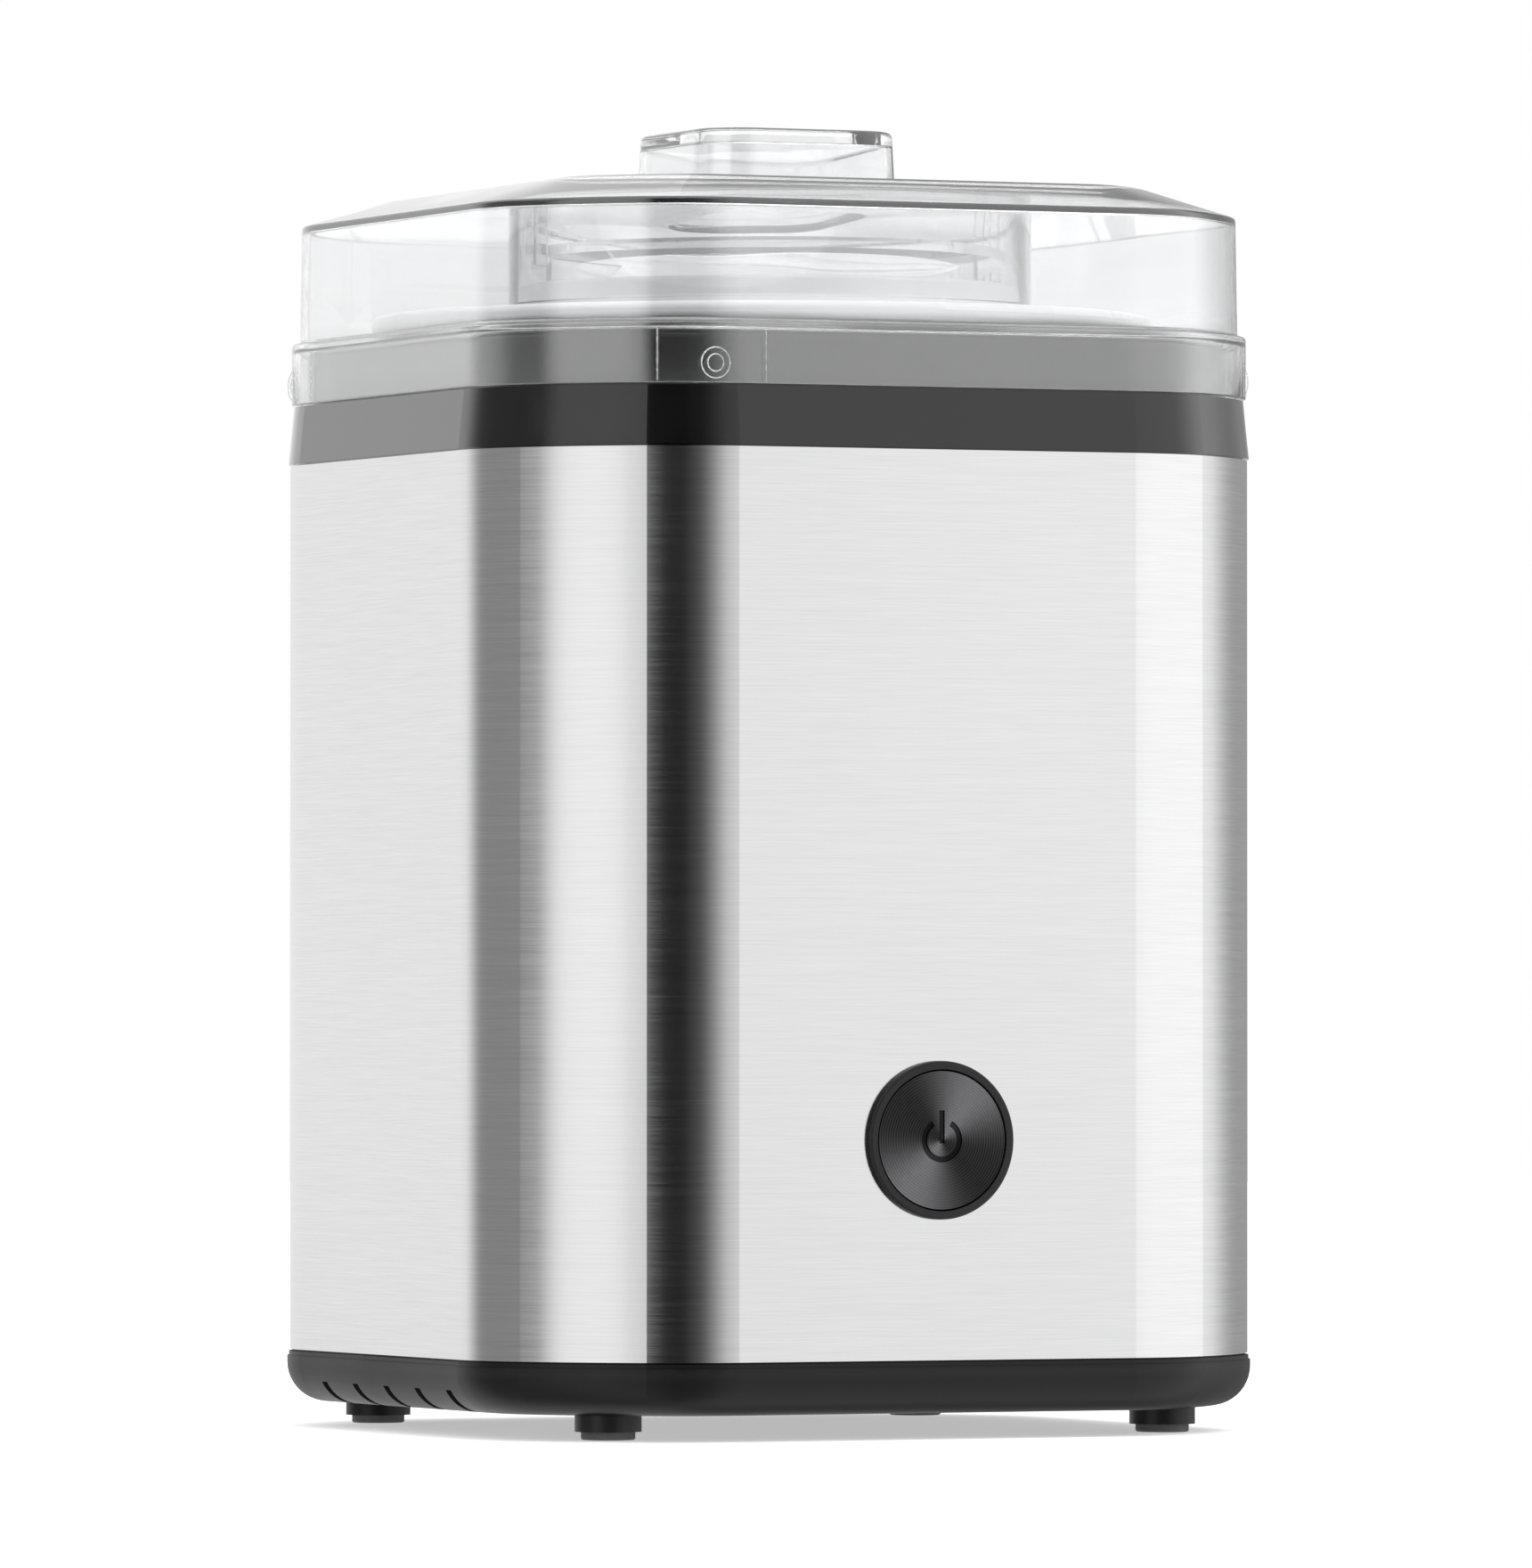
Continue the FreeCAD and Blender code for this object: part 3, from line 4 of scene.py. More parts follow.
import bmesh
import bpy
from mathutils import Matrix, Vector


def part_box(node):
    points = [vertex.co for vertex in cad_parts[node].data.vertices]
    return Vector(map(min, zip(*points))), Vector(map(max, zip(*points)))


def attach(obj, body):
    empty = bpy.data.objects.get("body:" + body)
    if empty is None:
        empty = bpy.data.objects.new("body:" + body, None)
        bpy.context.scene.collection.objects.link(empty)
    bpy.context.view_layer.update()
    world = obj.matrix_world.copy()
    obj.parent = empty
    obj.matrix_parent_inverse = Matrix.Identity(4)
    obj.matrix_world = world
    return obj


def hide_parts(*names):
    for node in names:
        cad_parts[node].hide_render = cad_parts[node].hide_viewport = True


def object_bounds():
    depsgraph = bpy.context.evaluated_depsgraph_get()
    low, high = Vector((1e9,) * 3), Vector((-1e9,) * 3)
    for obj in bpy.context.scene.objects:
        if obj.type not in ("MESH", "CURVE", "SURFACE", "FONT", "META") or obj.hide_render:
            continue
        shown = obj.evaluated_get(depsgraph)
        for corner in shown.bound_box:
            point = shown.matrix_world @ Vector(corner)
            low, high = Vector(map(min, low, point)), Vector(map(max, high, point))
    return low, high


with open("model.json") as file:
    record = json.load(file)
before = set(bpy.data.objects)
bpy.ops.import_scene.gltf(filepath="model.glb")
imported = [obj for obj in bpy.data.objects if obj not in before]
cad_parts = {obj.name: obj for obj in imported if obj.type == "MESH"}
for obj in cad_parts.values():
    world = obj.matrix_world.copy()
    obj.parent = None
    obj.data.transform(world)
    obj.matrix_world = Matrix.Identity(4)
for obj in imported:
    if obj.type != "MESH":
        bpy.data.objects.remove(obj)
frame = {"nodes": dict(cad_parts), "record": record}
cad_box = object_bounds()

# ---------------------------------------------------------------- units and fineness
MM = 0.001
NODES = frame["nodes"]
RING_POINTS = 224
FILLET_STEPS = 5
CORNER_TURN = math.radians(35.0)

# ---------------------------------------------------------------- sizes in millimetres
# an outline is half width, half depth, tight corner radius and broad corner radius
BODY = (95.0, 93.0, 34.0, 86.0)
SKIRT_INSET = 0.3
WALL_INSET = 2.6
PLATEAU = (71.0, 74.0, 14.0, 60.0)
SPLASH_OUTER = 60.0
SPLASH_INNER = 58.3
FEED_OUTER = (20.8, 20.8, 8.8, 13.8)
FEED_INNER = (19.0, 19.0, 7.0, 12.0)
CAP_BASE = (24.9, 24.9, 9.0, 17.0)
TAB_OFFSET = 53.6
TAB_WIDTH = 24.0
TAB_LINE_LENGTH = 11.4
BOSS_HEIGHT = 236.5

# heights above the lid's lower edge
LEDGE_HEIGHT = 14.1
SHOULDER_HEIGHT = 40.9
PLATEAU_HEIGHT = 47.0
RIB_BOTTOM = 29.9
RIB_TOP = 45.1

# ---------------------------------------------------------------- light and view
VIEW_TURN = math.radians(24.24)
CAMERA_TILT = math.radians(0.9)
# distance and height in metres, lens in millimetres
CAMERA_DISTANCE = 3.0416
CAMERA_HEIGHT = 0.098
CAMERA_LENS = 307.8
STUDIO_LEVEL = 0.9
STUDIO_PANELS = (
    # direction from the camera and half width and soft edge in degrees, then brightness
    ("dull_wall_left", -80, 20, 25, 0.25),
    ("shaded_front", 10, 5, 40, 0.05),
    ("softbox_left", -40, 8, 10, 1.0),
    ("black_flag", -5, 10, 10, 0.01),
    ("softbox_right", 90, 30, 20, 1.1),
    ("dull_wall_right", 155, 10, 30, 0.35),
)


# ================================================================ node helpers
class Shader:
    """A short way to build a material's node tree."""

    def __init__(self, name):
        self.material = bpy.data.materials.new(name)
        self.material.use_nodes = True
        self.tree = self.material.node_tree
        self.tree.nodes.clear()
        self.surface = self.add("ShaderNodeBsdfPrincipled")
        output = self.add("ShaderNodeOutputMaterial")
        self.link(self.surface.outputs["BSDF"], output.inputs["Surface"])
        self.place = self.add("ShaderNodeTexCoord").outputs["Object"]

    def add(self, kind, **values):
        node = self.tree.nodes.new(kind)
        for key, value in values.items():
            setattr(node, key, value)
        return node

    def link(self, start, end):
        self.tree.links.new(start, end)

    def put(self, **values):
        """Uniform values, set on the shader's own sockets."""
        for key, value in values.items():
            socket = self.surface.inputs[key.replace("_", " ")]
            socket.default_value = value

    def scaled(self, scale):
        node = self.add("ShaderNodeMapping")
        node.inputs["Scale"].default_value = scale
        self.link(self.place, node.inputs["Vector"])
        return node.outputs["Vector"]

    def noise(self, scale, detail=3.0, roughness=0.5, stretch=None):
        node = self.add("ShaderNodeTexNoise")
        node.inputs["Scale"].default_value = scale
        node.inputs["Detail"].default_value = detail
        node.inputs["Roughness"].default_value = roughness
        vector = self.scaled(stretch) if stretch else self.place
        self.link(vector, node.inputs["Vector"])
        return node.outputs["Fac"]

    def spread(self, value, low, high, start=0.3, end=0.7):
        """Maps a value from start..end to low..high."""
        node = self.add("ShaderNodeMapRange")
        node.inputs["From Min"].default_value = start
        node.inputs["From Max"].default_value = end
        node.inputs["To Min"].default_value = low
        node.inputs["To Max"].default_value = high
        self.link(value, node.inputs["Value"])
        return node.outputs["Result"]

    def math(self, operation, first, second=None):
        node = self.add("ShaderNodeMath", operation=operation)
        for socket, value in zip(node.inputs, (first, second)):
            if value is None:
                continue
            if isinstance(value, (int, float)):
                socket.default_value = value
            else:
                self.link(value, socket)
        return node.outputs["Value"]

    def bump(self, height, distance, strength=1.0):
        node = self.add("ShaderNodeBump")
        node.inputs["Distance"].default_value = distance
        node.inputs["Strength"].default_value = strength
        self.link(height, node.inputs["Height"])
        self.link(node.outputs["Normal"], self.surface.inputs["Normal"])
        return node

    def edges(self, low, high):
        """Bright on convex edges: wear and a painted edge highlight."""
        geometry = self.add("ShaderNodeNewGeometry")
        return self.spread(geometry.outputs["Pointiness"], 0.0, 1.0, low, high)


def blend_colour(shader, factor, first, second):
    node = shader.add("ShaderNodeMix", data_type="RGBA")
    node.inputs["A"].default_value = (*first, 1.0)
    node.inputs["B"].default_value = (*second, 1.0)
    shader.link(factor, node.inputs["Factor"])
    return node.outputs["Result"]


def blend_sockets(shader, factor, first, second):
    """Blends a linked colour toward a plain one."""
    node = shader.add("ShaderNodeMix", data_type="RGBA")
    shader.link(factor, node.inputs["Factor"])
    shader.link(first, node.inputs["A"])
    node.inputs["B"].default_value = (*second, 1.0)
    return node.outputs["Result"]


# ================================================================ materials
def brushed_steel(name, tone=0.86):
    """Stainless sheet with brush lines that run level round the body."""
    s = Shader(name)
    fine = s.noise(1.0, 4.0, 0.6, (55.0, 55.0, 3000.0))
    coarse = s.noise(1.0, 3.0, 0.55, (22.0, 22.0, 700.0))
    cloud = s.noise(9.0, 3.0)
    lines = s.math("ADD", s.math("MULTIPLY", fine, 0.7), s.math("MULTIPLY", coarse, 0.3))
    darker = (tone * 0.92, tone * 0.92, tone * 0.925)
    lighter = (tone * 1.055, tone * 1.055, tone * 1.06)
    s.link(blend_colour(s, s.spread(lines, 0.0, 1.0), darker, lighter), s.surface.inputs["Base Color"])
    rough = s.math("ADD", s.spread(lines, 0.13, 0.19), s.spread(cloud, -0.015, 0.015))
    s.link(rough, s.surface.inputs["Roughness"])
    s.put(Metallic=1.0, Anisotropic=0.5)
    tangent = s.add("ShaderNodeTangent", direction_type="RADIAL", axis="Z")
    s.link(tangent.outputs["Tangent"], s.surface.inputs["Tangent"])
    s.bump(lines, 0.00001, 0.3)
    return s.material


def moulded(name, colour, roughness, edge=0.25, gloss=0.5, polish=0.0):
    """Moulded plastic: fine texture, slow changes in gloss, edges lightened for wear and as a painted
    highlight.

    A polish above zero adds a clear layer of that refractive index, stronger at a slant.
    """
    s = Shader(name)
    cloud = s.noise(28.0, 4.0)
    fine = s.noise(900.0, 2.0)
    # convex edges lightened in the colour: partly wear, partly a painted highlight
    wear_and_highlight = s.math("MULTIPLY", s.edges(0.51, 0.56), edge)
    light = tuple(min(1.0, c * 1.4 + 0.012) for c in colour)
    base = blend_colour(s, s.spread(cloud, 0.0, 0.12), colour, light)
    s.link(blend_sockets(s, wear_and_highlight, base, light), s.surface.inputs["Base Color"])
    s.link(s.spread(cloud, roughness * 0.88, roughness * 1.12), s.surface.inputs["Roughness"])
    s.put(Specular_IOR_Level=gloss)
    if polish:
        slant = s.add("ShaderNodeLayerWeight").outputs["Facing"]
        s.link(s.spread(slant, 0.1, 1.0, 0.3, 0.7), s.surface.inputs["Coat Weight"])
        s.put(Coat_IOR=polish, Coat_Roughness=roughness)
    s.bump(fine, 0.00002, 0.5)
    return s.material


def clear_plastic(name):
    """Polished clear plastic with slight moulding waves."""
    s = Shader(name)
    wave = s.noise(30.0, 2.0, 0.4)
    haze = s.noise(140.0, 3.0)
    s.put(Base_Color=(0.945, 0.95, 0.955, 1.0), Transmission_Weight=0.995, IOR=1.49)
    s.link(s.spread(haze, 0.0, 0.02), s.surface.inputs["Roughness"])
    slant = s.add("ShaderNodeLayerWeight").outputs["Facing"]
    s.link(s.spread(slant, 0.75, 1.0, 0.0, 0.5), s.surface.inputs["Coat Weight"])
    s.put(Coat_IOR=2.2, Coat_Roughness=0.04)
    s.bump(wave, 0.0001, 0.2)
    return s.material


def frosted_edge(name):
    """Clear plastic where a cut or a fine bead scatters the light."""
    s = Shader(name)
    grain = s.noise(900.0, 3.0)
    s.link(blend_colour(s, s.spread(grain, 0.0, 1.0), (0.72, 0.73, 0.735), (0.84, 0.845, 0.85)),
           s.surface.inputs["Base Color"])
    s.link(s.spread(grain, 0.2, 0.32), s.surface.inputs["Roughness"])
    s.put(Transmission_Weight=0.55, IOR=1.49)
    s.bump(grain, 0.00001, 0.4)
    return s.material


def white_plastic(name):
    s = Shader(name)
    cloud = s.noise(20.0, 4.0)
    fine = s.noise(1400.0, 2.0)
    s.link(blend_colour(s, s.spread(cloud, 0.0, 1.0), (0.83, 0.835, 0.84), (0.88, 0.882, 0.885)),
           s.surface.inputs["Base Color"])
    s.link(s.spread(cloud, 0.22, 0.3), s.surface.inputs["Roughness"])
    s.put(Coat_Weight=0.3, Coat_Roughness=0.08)
    s.bump(fine, 0.00001, 0.3)
    return s.material


def turned_metal(name, colour, roughness, axis, centre, pitch, painted_sheen=0.0):
    """Metal with fine circular tool marks round an axis through centre.

    A painted sheen above zero is for the button face: it colours the symbol's groove darker and paints two
    opposite fans of highlight into the colour.
    """
    s = Shader(name)
    move = s.add("ShaderNodeVectorMath", operation="SUBTRACT")
    move.inputs[1].default_value = centre
    s.link(s.place, move.inputs[0])
    flat = s.add("ShaderNodeVectorMath", operation="MULTIPLY")
    flat.inputs[1].default_value = tuple(0.0 if letter == axis else 1.0 for letter in "XYZ")
    s.link(move.outputs["Vector"], flat.inputs[0])
    length = s.add("ShaderNodeVectorMath", operation="LENGTH")
    s.link(flat.outputs["Vector"], length.inputs[0])
    rings = s.math("SINE", s.math("MULTIPLY", length.outputs["Value"], 2 * math.pi / pitch))
    grain = s.noise(700.0, 3.0)
    rings_and_painted_sheen = blend_colour(s, s.spread(rings, 0.0, 1.0, -1.0, 1.0), tuple(c * 0.6 for c in colour),
                               tuple(min(1.0, c * 1.35) for c in colour))
    if painted_sheen:
        low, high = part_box("button_face")
        front = (low[1] - high[1]) / 2
        depth = s.add("ShaderNodeSeparateXYZ")
        s.link(move.outputs["Vector"], depth.inputs[0])
        groove = s.spread(depth.outputs["Y"], 0.0, 0.85, front + 0.0001, front + 0.0002)
        rings_and_painted_sheen = blend_sockets(s, groove, rings_and_painted_sheen, tuple(c * 0.25 for c in colour))
        # painted highlight: two opposite fans of light painted into the base colour by angle round the axis
        parts = s.add("ShaderNodeSeparateXYZ")
        s.link(flat.outputs["Vector"], parts.inputs[0])
        angle = s.math("ARCTAN2", parts.outputs["Z"], parts.outputs["X"])
        turned = s.math("MULTIPLY", s.math("SUBTRACT", angle, math.radians(57.0)), 2.0)
        painted_fan = s.math("POWER", s.math("ADD", s.math("MULTIPLY", s.math("COSINE", turned), 0.5), 0.5), 2.0)
        face_only = s.math("SUBTRACT", 1.0, groove)
        painted_fan_grained = s.math("MULTIPLY", s.math("MULTIPLY", painted_fan, face_only), s.spread(grain, 0.85, 1.1))
        rings_and_painted_sheen = blend_sockets(s, painted_fan_grained, rings_and_painted_sheen, tuple(min(1.0, c * painted_sheen) for c in colour))
    s.link(rings_and_painted_sheen, s.surface.inputs["Base Color"])
    s.link(s.spread(grain, roughness * 0.85, roughness * 1.15), s.surface.inputs["Roughness"])
    s.put(Metallic=1.0, Anisotropic=0.6)
    tangent = s.add("ShaderNodeTangent", direction_type="RADIAL", axis=axis)
    s.link(tangent.outputs["Tangent"], s.surface.inputs["Tangent"])
    s.bump(rings, 0.00002, 0.35)
    return s.material


def plain_metal(name, colour, roughness, grain=300.0):
    s = Shader(name)
    cloud = s.noise(grain, 4.0)
    dark = tuple(c * 0.85 for c in colour)
    s.link(blend_colour(s, s.spread(cloud, 0.0, 1.0), dark, colour), s.surface.inputs["Base Color"])
    s.link(s.spread(cloud, roughness * 0.8, roughness * 1.2), s.surface.inputs["Roughness"])
    s.put(Metallic=1.0)
    s.bump(cloud, 0.00002, 0.4)
    return s.material


def rubber(name, colour):
    s = Shader(name)
    fine = s.noise(1200.0, 3.0)
    cloud = s.noise(60.0, 3.0)
    light = tuple(c * 1.25 for c in colour)
    s.link(blend_colour(s, s.spread(cloud, 0.0, 1.0), colour, light), s.surface.inputs["Base Color"])
    s.link(s.spread(fine, 0.55, 0.75), s.surface.inputs["Roughness"])
    s.bump(fine, 0.00004, 0.5)
    return s.material


def button_centre():
    low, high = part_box("button_face")
    return tuple((low + high) / 2)


MATERIALS = {
    "brushed_steel": brushed_steel("brushed_steel"),
    "black_band": moulded("black_band", (0.003, 0.003, 0.0034), 0.12, 0.1, 0.6, 2.0),
    "black_base": moulded("black_base", (0.006, 0.006, 0.0065), 0.36, edge=0.5, gloss=0.3),
    "clear_plastic": clear_plastic("clear_plastic"),
    "frosted_edge": frosted_edge("frosted_edge"),
    "white_plastic": white_plastic("white_plastic"),
    "bowl_aluminium": turned_metal("bowl_aluminium", (0.78, 0.79, 0.8), 0.42, "Z", (0, 0, 0), 0.0008),
    "cooling_gel": moulded("cooling_gel", (0.35, 0.55, 0.75), 0.3),
    "grey_rubber": rubber("grey_rubber", (0.075, 0.075, 0.078)),
    "black_rubber": rubber("black_rubber", (0.02, 0.02, 0.02)),
    # the button face's colour carries two painted fans of highlight
    "black_metal": turned_metal("black_metal", (0.03, 0.03, 0.031), 0.36, "Y", button_centre(), 0.0006, 7.5),
    "bezel_black": moulded("bezel_black", (0.013, 0.013, 0.014), 0.36, edge=0.2, gloss=0.25),
    "machine_steel": plain_metal("machine_steel", (0.6, 0.6, 0.6), 0.25),
    "screw_steel": plain_metal("screw_steel", (0.55, 0.56, 0.56), 0.3),
    "gear_nylon": moulded("gear_nylon", (0.75, 0.73, 0.65), 0.4, edge=0.1),
    "housing_grey": moulded("housing_grey", (0.22, 0.23, 0.235), 0.5),
    "liner_black": moulded("liner_black", (0.02, 0.02, 0.021), 0.45),
    "bush_bronze": plain_metal("bush_bronze", (0.7, 0.5, 0.25), 0.4),
    "copper_winding": plain_metal("copper_winding", (0.72, 0.36, 0.18), 0.3, 900.0),
    "motor_steel": plain_metal("motor_steel", (0.4, 0.41, 0.42), 0.35),
    "circuit_green": moulded("circuit_green", (0.02, 0.14, 0.06), 0.35),
    "part_black": moulded("part_black", (0.03, 0.03, 0.03), 0.45),
    "wire_black": rubber("wire_black", (0.03, 0.03, 0.03)),
}


def finish_cad_nodes():
    """Every CAD node gets its slot's material."""
    slot_of = {part["node"]: part["material_slot"] for part in frame["record"]["subparts"]}
    for node, piece in NODES.items():
        piece.data.materials.clear()
        piece.data.materials.append(MATERIALS[slot_of[node]])


finish_cad_nodes()


# ================================================================ mesh helpers
def outline_radius(shape):
    """Distance from the centre to a rounded rectangle's edge, at each of RING_POINTS directions."""
    half_x, half_y, tight, broad = shape
    side = math.sin(CORNER_TURN)
    along = math.cos(CORNER_TURN)
    extent = tight * (side + 1 - along) + broad * (along - side)
    first = (half_x - tight, half_y - extent)
    middle = (first[0] + (tight - broad) * along, first[1] + (tight - broad) * side)
    last = (middle[0] + (broad - tight) * side, middle[1] + (broad - tight) * along)
    quarter = math.pi / 2
    arcs = ((first, tight, 0.0, CORNER_TURN), (middle, broad, CORNER_TURN, quarter - CORNER_TURN),
            (last, tight, quarter - CORNER_TURN, quarter))
    corner = [(half_x, 0.0)]
    for centre, radius, begin, end in arcs:
        for step in range(17):
            angle = begin + (end - begin) * step / 16
            corner.append((centre[0] + radius * math.cos(angle), centre[1] + radius * math.sin(angle)))
    corner.append((0.0, half_y))
    reach = []
    for k in range(RING_POINTS):
        angle = 2 * math.pi * k / RING_POINTS
        ray = (abs(math.cos(angle)), abs(math.sin(angle)))
        reach.append(cast(ray, corner))
    return reach


def cast(ray, chain):
    """How far along a ray from the centre it meets a chain of points."""
    for start, end in zip(chain[:-1], chain[1:]):
        cross_start = ray[0] * start[1] - ray[1] * start[0]
        cross_end = ray[0] * end[1] - ray[1] * end[0]
        if cross_start <= 1e-9 <= cross_end + 2e-9 and cross_end - cross_start > 1e-12:
            share = -cross_start / (cross_end - cross_start)
            x = start[0] + (end[0] - start[0]) * share
            y = start[1] + (end[1] - start[1]) * share
            return math.hypot(x, y)
    return math.hypot(*chain[-1])


def inset(shape, amount):
    return tuple(value - amount for value in shape)


def round_radius(radius):
    return [radius] * RING_POINTS


def rounded_profile(corners):
    """A closed profile of (distance, height) whose corners (distance, height, radius) are rounded."""
    points = []
    count = len(corners)
    for k, (x, z, radius) in enumerate(corners):
        here = Vector((x, z))
        before = Vector(corners[k - 1][:2]) - here
        after = Vector(corners[(k + 1) % count][:2]) - here
        room = 0.45 * min(before.length, after.length)
        before.normalize()
        after.normalize()
        half = before.angle(after) / 2
        cut = min(radius / math.tan(half), room)
        start = here + before * cut
        end = here + after * cut
        for step in range(FILLET_STEPS + 1):
            t = step / FILLET_STEPS
            points.append(tuple(start * (1 - t) ** 2 + here * (2 * t * (1 - t)) + end * t ** 2))
    return points


def swept_shell(name, profile, tracks):
    """A closed shell: the profile carried round the centre. tracks gives the outline at each distance."""
    distances = [distance for distance, _ in tracks]
    bm = bmesh.new()
    rings = []
    for distance, height in profile:
        index = 0
        while index < len(tracks) - 2 and distance > distances[index + 1]:
            index += 1
        share = (distance - distances[index]) / (distances[index + 1] - distances[index])
        outer = tracks[index][1]
        inner = tracks[index + 1][1]
        ring = []
        for k in range(RING_POINTS):
            reach = outer[k] + (inner[k] - outer[k]) * share
            angle = 2 * math.pi * k / RING_POINTS
            place = (reach * math.cos(angle), reach * math.sin(angle), height)
            ring.append(bm.verts.new([value * MM for value in place]))
        rings.append(ring)
    for ring, following in zip(rings, rings[1:] + rings[:1]):
        for k in range(RING_POINTS):
            after = (k + 1) % RING_POINTS
            bm.faces.new((ring[k], ring[after], following[after], following[k]))
    return finish_mesh(name, bm)


def finish_mesh(name, bm, smooth=True):
    bmesh.ops.remove_doubles(bm, verts=bm.verts, dist=1e-6)
    loose = [edge for edge in bm.edges if not edge.link_faces]
    bmesh.ops.delete(bm, geom=loose, context="EDGES")
    bmesh.ops.recalc_face_normals(bm, faces=bm.faces)
    mesh = bpy.data.meshes.new(name)
    bm.to_mesh(mesh)
    bm.free()
    for face in mesh.polygons:
        face.use_smooth = smooth
    piece = bpy.data.objects.new(name, mesh)
    bpy.context.scene.collection.objects.link(piece)
    return piece


def dress(piece, body, slot, material=None):
    piece.data.materials.append(material or MATERIALS[slot])
    piece.visible_shadow = False
    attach(piece, body)
    return piece


# ================================================================ lid and cap
def lid_bottom():
    """Height of the lid's lower edge, in millimetres."""
    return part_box("lid")[0][2] / MM


def clear_lid():
    """Skirt, wall, sloped shoulder, flat top, splash cylinder and feed rim in one shell."""
    skirt = SKIRT_INSET
    slope_start = WALL_INSET
    flat = 23.0
    splash_out = 35.0
    splash_in = 36.7
    feed_out = 73.0
    feed_in = 74.8
    tracks = (
        (skirt, outline_radius(inset(BODY, skirt))),
        (slope_start, outline_radius(inset(BODY, slope_start))),
        (4.6, outline_radius(inset(BODY, 4.6))),
        (flat, outline_radius(PLATEAU)),
        (splash_out, round_radius(SPLASH_OUTER)),
        (splash_in, round_radius(SPLASH_INNER)),
        (feed_out, outline_radius(FEED_OUTER)),
        (feed_in, outline_radius(FEED_INNER)),
    )
    bottom = lid_bottom()
    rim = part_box("lid")[1][2] / MM
    ledge = bottom + LEDGE_HEIGHT
    shoulder = bottom + SHOULDER_HEIGHT
    top = bottom + PLATEAU_HEIGHT
    wall = 1.8
    profile = rounded_profile((
        (skirt, bottom, 0.4), (skirt, ledge, 0.9), (2.2, ledge, 0.6), (WALL_INSET, shoulder, 1.0),
        (flat, top, 2.5), (feed_out, top, 0.6), (feed_out, rim, 0.5), (feed_in, rim, 0.5),
        (feed_in, top - wall, 0.5), (splash_in, top - wall, 1.0), (splash_in, bottom + 21.4, 0.6),
        (splash_out, bottom + 21.4, 0.6), (splash_out, top - wall, 1.0), (flat + 0.6, top - wall, 2.0),
        (4.3, shoulder - 1.4, 0.8), (3.9, ledge - 2.0, 0.7), (2.3, ledge - 2.0, 0.4), (2.3, bottom, 0.4),
    ))
    piece = swept_shell("clear_lid", profile, tracks)
    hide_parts("lid")
    return dress(piece, "lid", "clear_plastic")


def clear_cap():
    """A square cap with soft corners, a thick top plate and a rounded top edge."""
    low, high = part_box("ingredient_cap")
    bottom = low[2] / MM
    top = high[2] / MM
    tracks = (
        (0.0, outline_radius(CAP_BASE)),
        (6.0, outline_radius(inset(CAP_BASE, 6.0))),
        (24.9, round_radius(0.0)),
    )
    profile = rounded_profile((
        (0.0, bottom, 0.35), (0.7, top, 1.5),
        (24.9, top, 0.0001), (24.9, top - 3.2, 0.0001), (2.4, top - 3.2, 0.8), (1.8, bottom, 0.35),
    ))
    piece = swept_shell("clear_cap", profile, tracks)
    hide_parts("ingredient_cap")
    return dress(piece, "cap", "clear_plastic")


def bead(bm, centre, out, major, minor):
    """A thin raised ring whose axis points out."""
    steps_round = 40
    steps_across = 10
    out = Vector(out)
    up = Vector((0, 0, 1))
    side = up.cross(out)
    rings = []
    for k in range(steps_round):
        angle = 2 * math.pi * k / steps_round
        spoke = side * math.cos(angle) + up * math.sin(angle)
        ring = []
        for j in range(steps_across):
            turn = 2 * math.pi * j / steps_across
            offset = spoke * (major + minor * math.cos(turn)) + out * (minor * math.sin(turn))
            ring.append(bm.verts.new((Vector(centre) + offset) * MM))
        rings.append(ring)
    for ring, following in zip(rings, rings[1:] + rings[:1]):
        for j in range(steps_across):
            after = (j + 1) % steps_across
            bm.faces.new((ring[j], ring[after], following[after], following[j]))


def rounded_bar(bm, low, high, edge):
    """A box with bevelled edges."""
    made = bmesh.ops.create_cube(bm, size=1.0)
    verts = made["verts"]
    for vert in verts:
        for axis in range(3):
            start, end = low[axis], high[axis]
            vert.co[axis] = ((start + end) / 2 + (end - start) * vert.co[axis]) * MM
    edges = list({e for v in verts for e in v.link_edges})
    bmesh.ops.bevel(bm, geom=edges, offset=edge * MM, segments=3, profile=0.5, affect="EDGES")


def skirt_face(along, half, other_half):
    """How far out the skirt's face lies at a distance along one side of the body."""
    tight = BODY[2] - SKIRT_INSET
    broad = BODY[3] - SKIRT_INSET
    side = math.sin(CORNER_TURN)
    level = math.cos(CORNER_TURN)
    straight = other_half - SKIRT_INSET - tight * (side + 1 - level) - broad * (level - side)
    into_corner = min(max(abs(along) - straight, 0.0), tight * side)
    return half - SKIRT_INSET - tight + math.sqrt(tight ** 2 - into_corner ** 2)


def tab_point(turn, along, depth=0.0):
    """A point at a snap tab's side of the lid, and the way out of that side."""
    half_x, half_y = BODY[:2]
    if turn % 2 == 0:
        sign = -1 if turn == 0 else 1
        return (sign * along, sign * (skirt_face(along, half_y, half_x) - depth)), (0.0, float(sign))
    sign = -1 if turn == 1 else 1
    return (sign * (skirt_face(along, half_x, half_y) - depth), -sign * along), (float(sign), 0.0)


def lid_bosses():
    """Two thin rings on each snap tab."""
    bm = bmesh.new()
    for turn in range(4):
        for depth, major, minor in ((0.05, 3.4, 0.15), (0.05, 1.9, 0.15)):
            (x, y), (out_x, out_y) = tab_point(turn, TAB_OFFSET, depth)
            bead(bm, (x, y, BOSS_HEIGHT), (out_x, out_y, 0.0), major, minor)
    return dress(finish_mesh("lid_bosses", bm), "lid", "clear_plastic", MATERIALS["frosted_edge"])


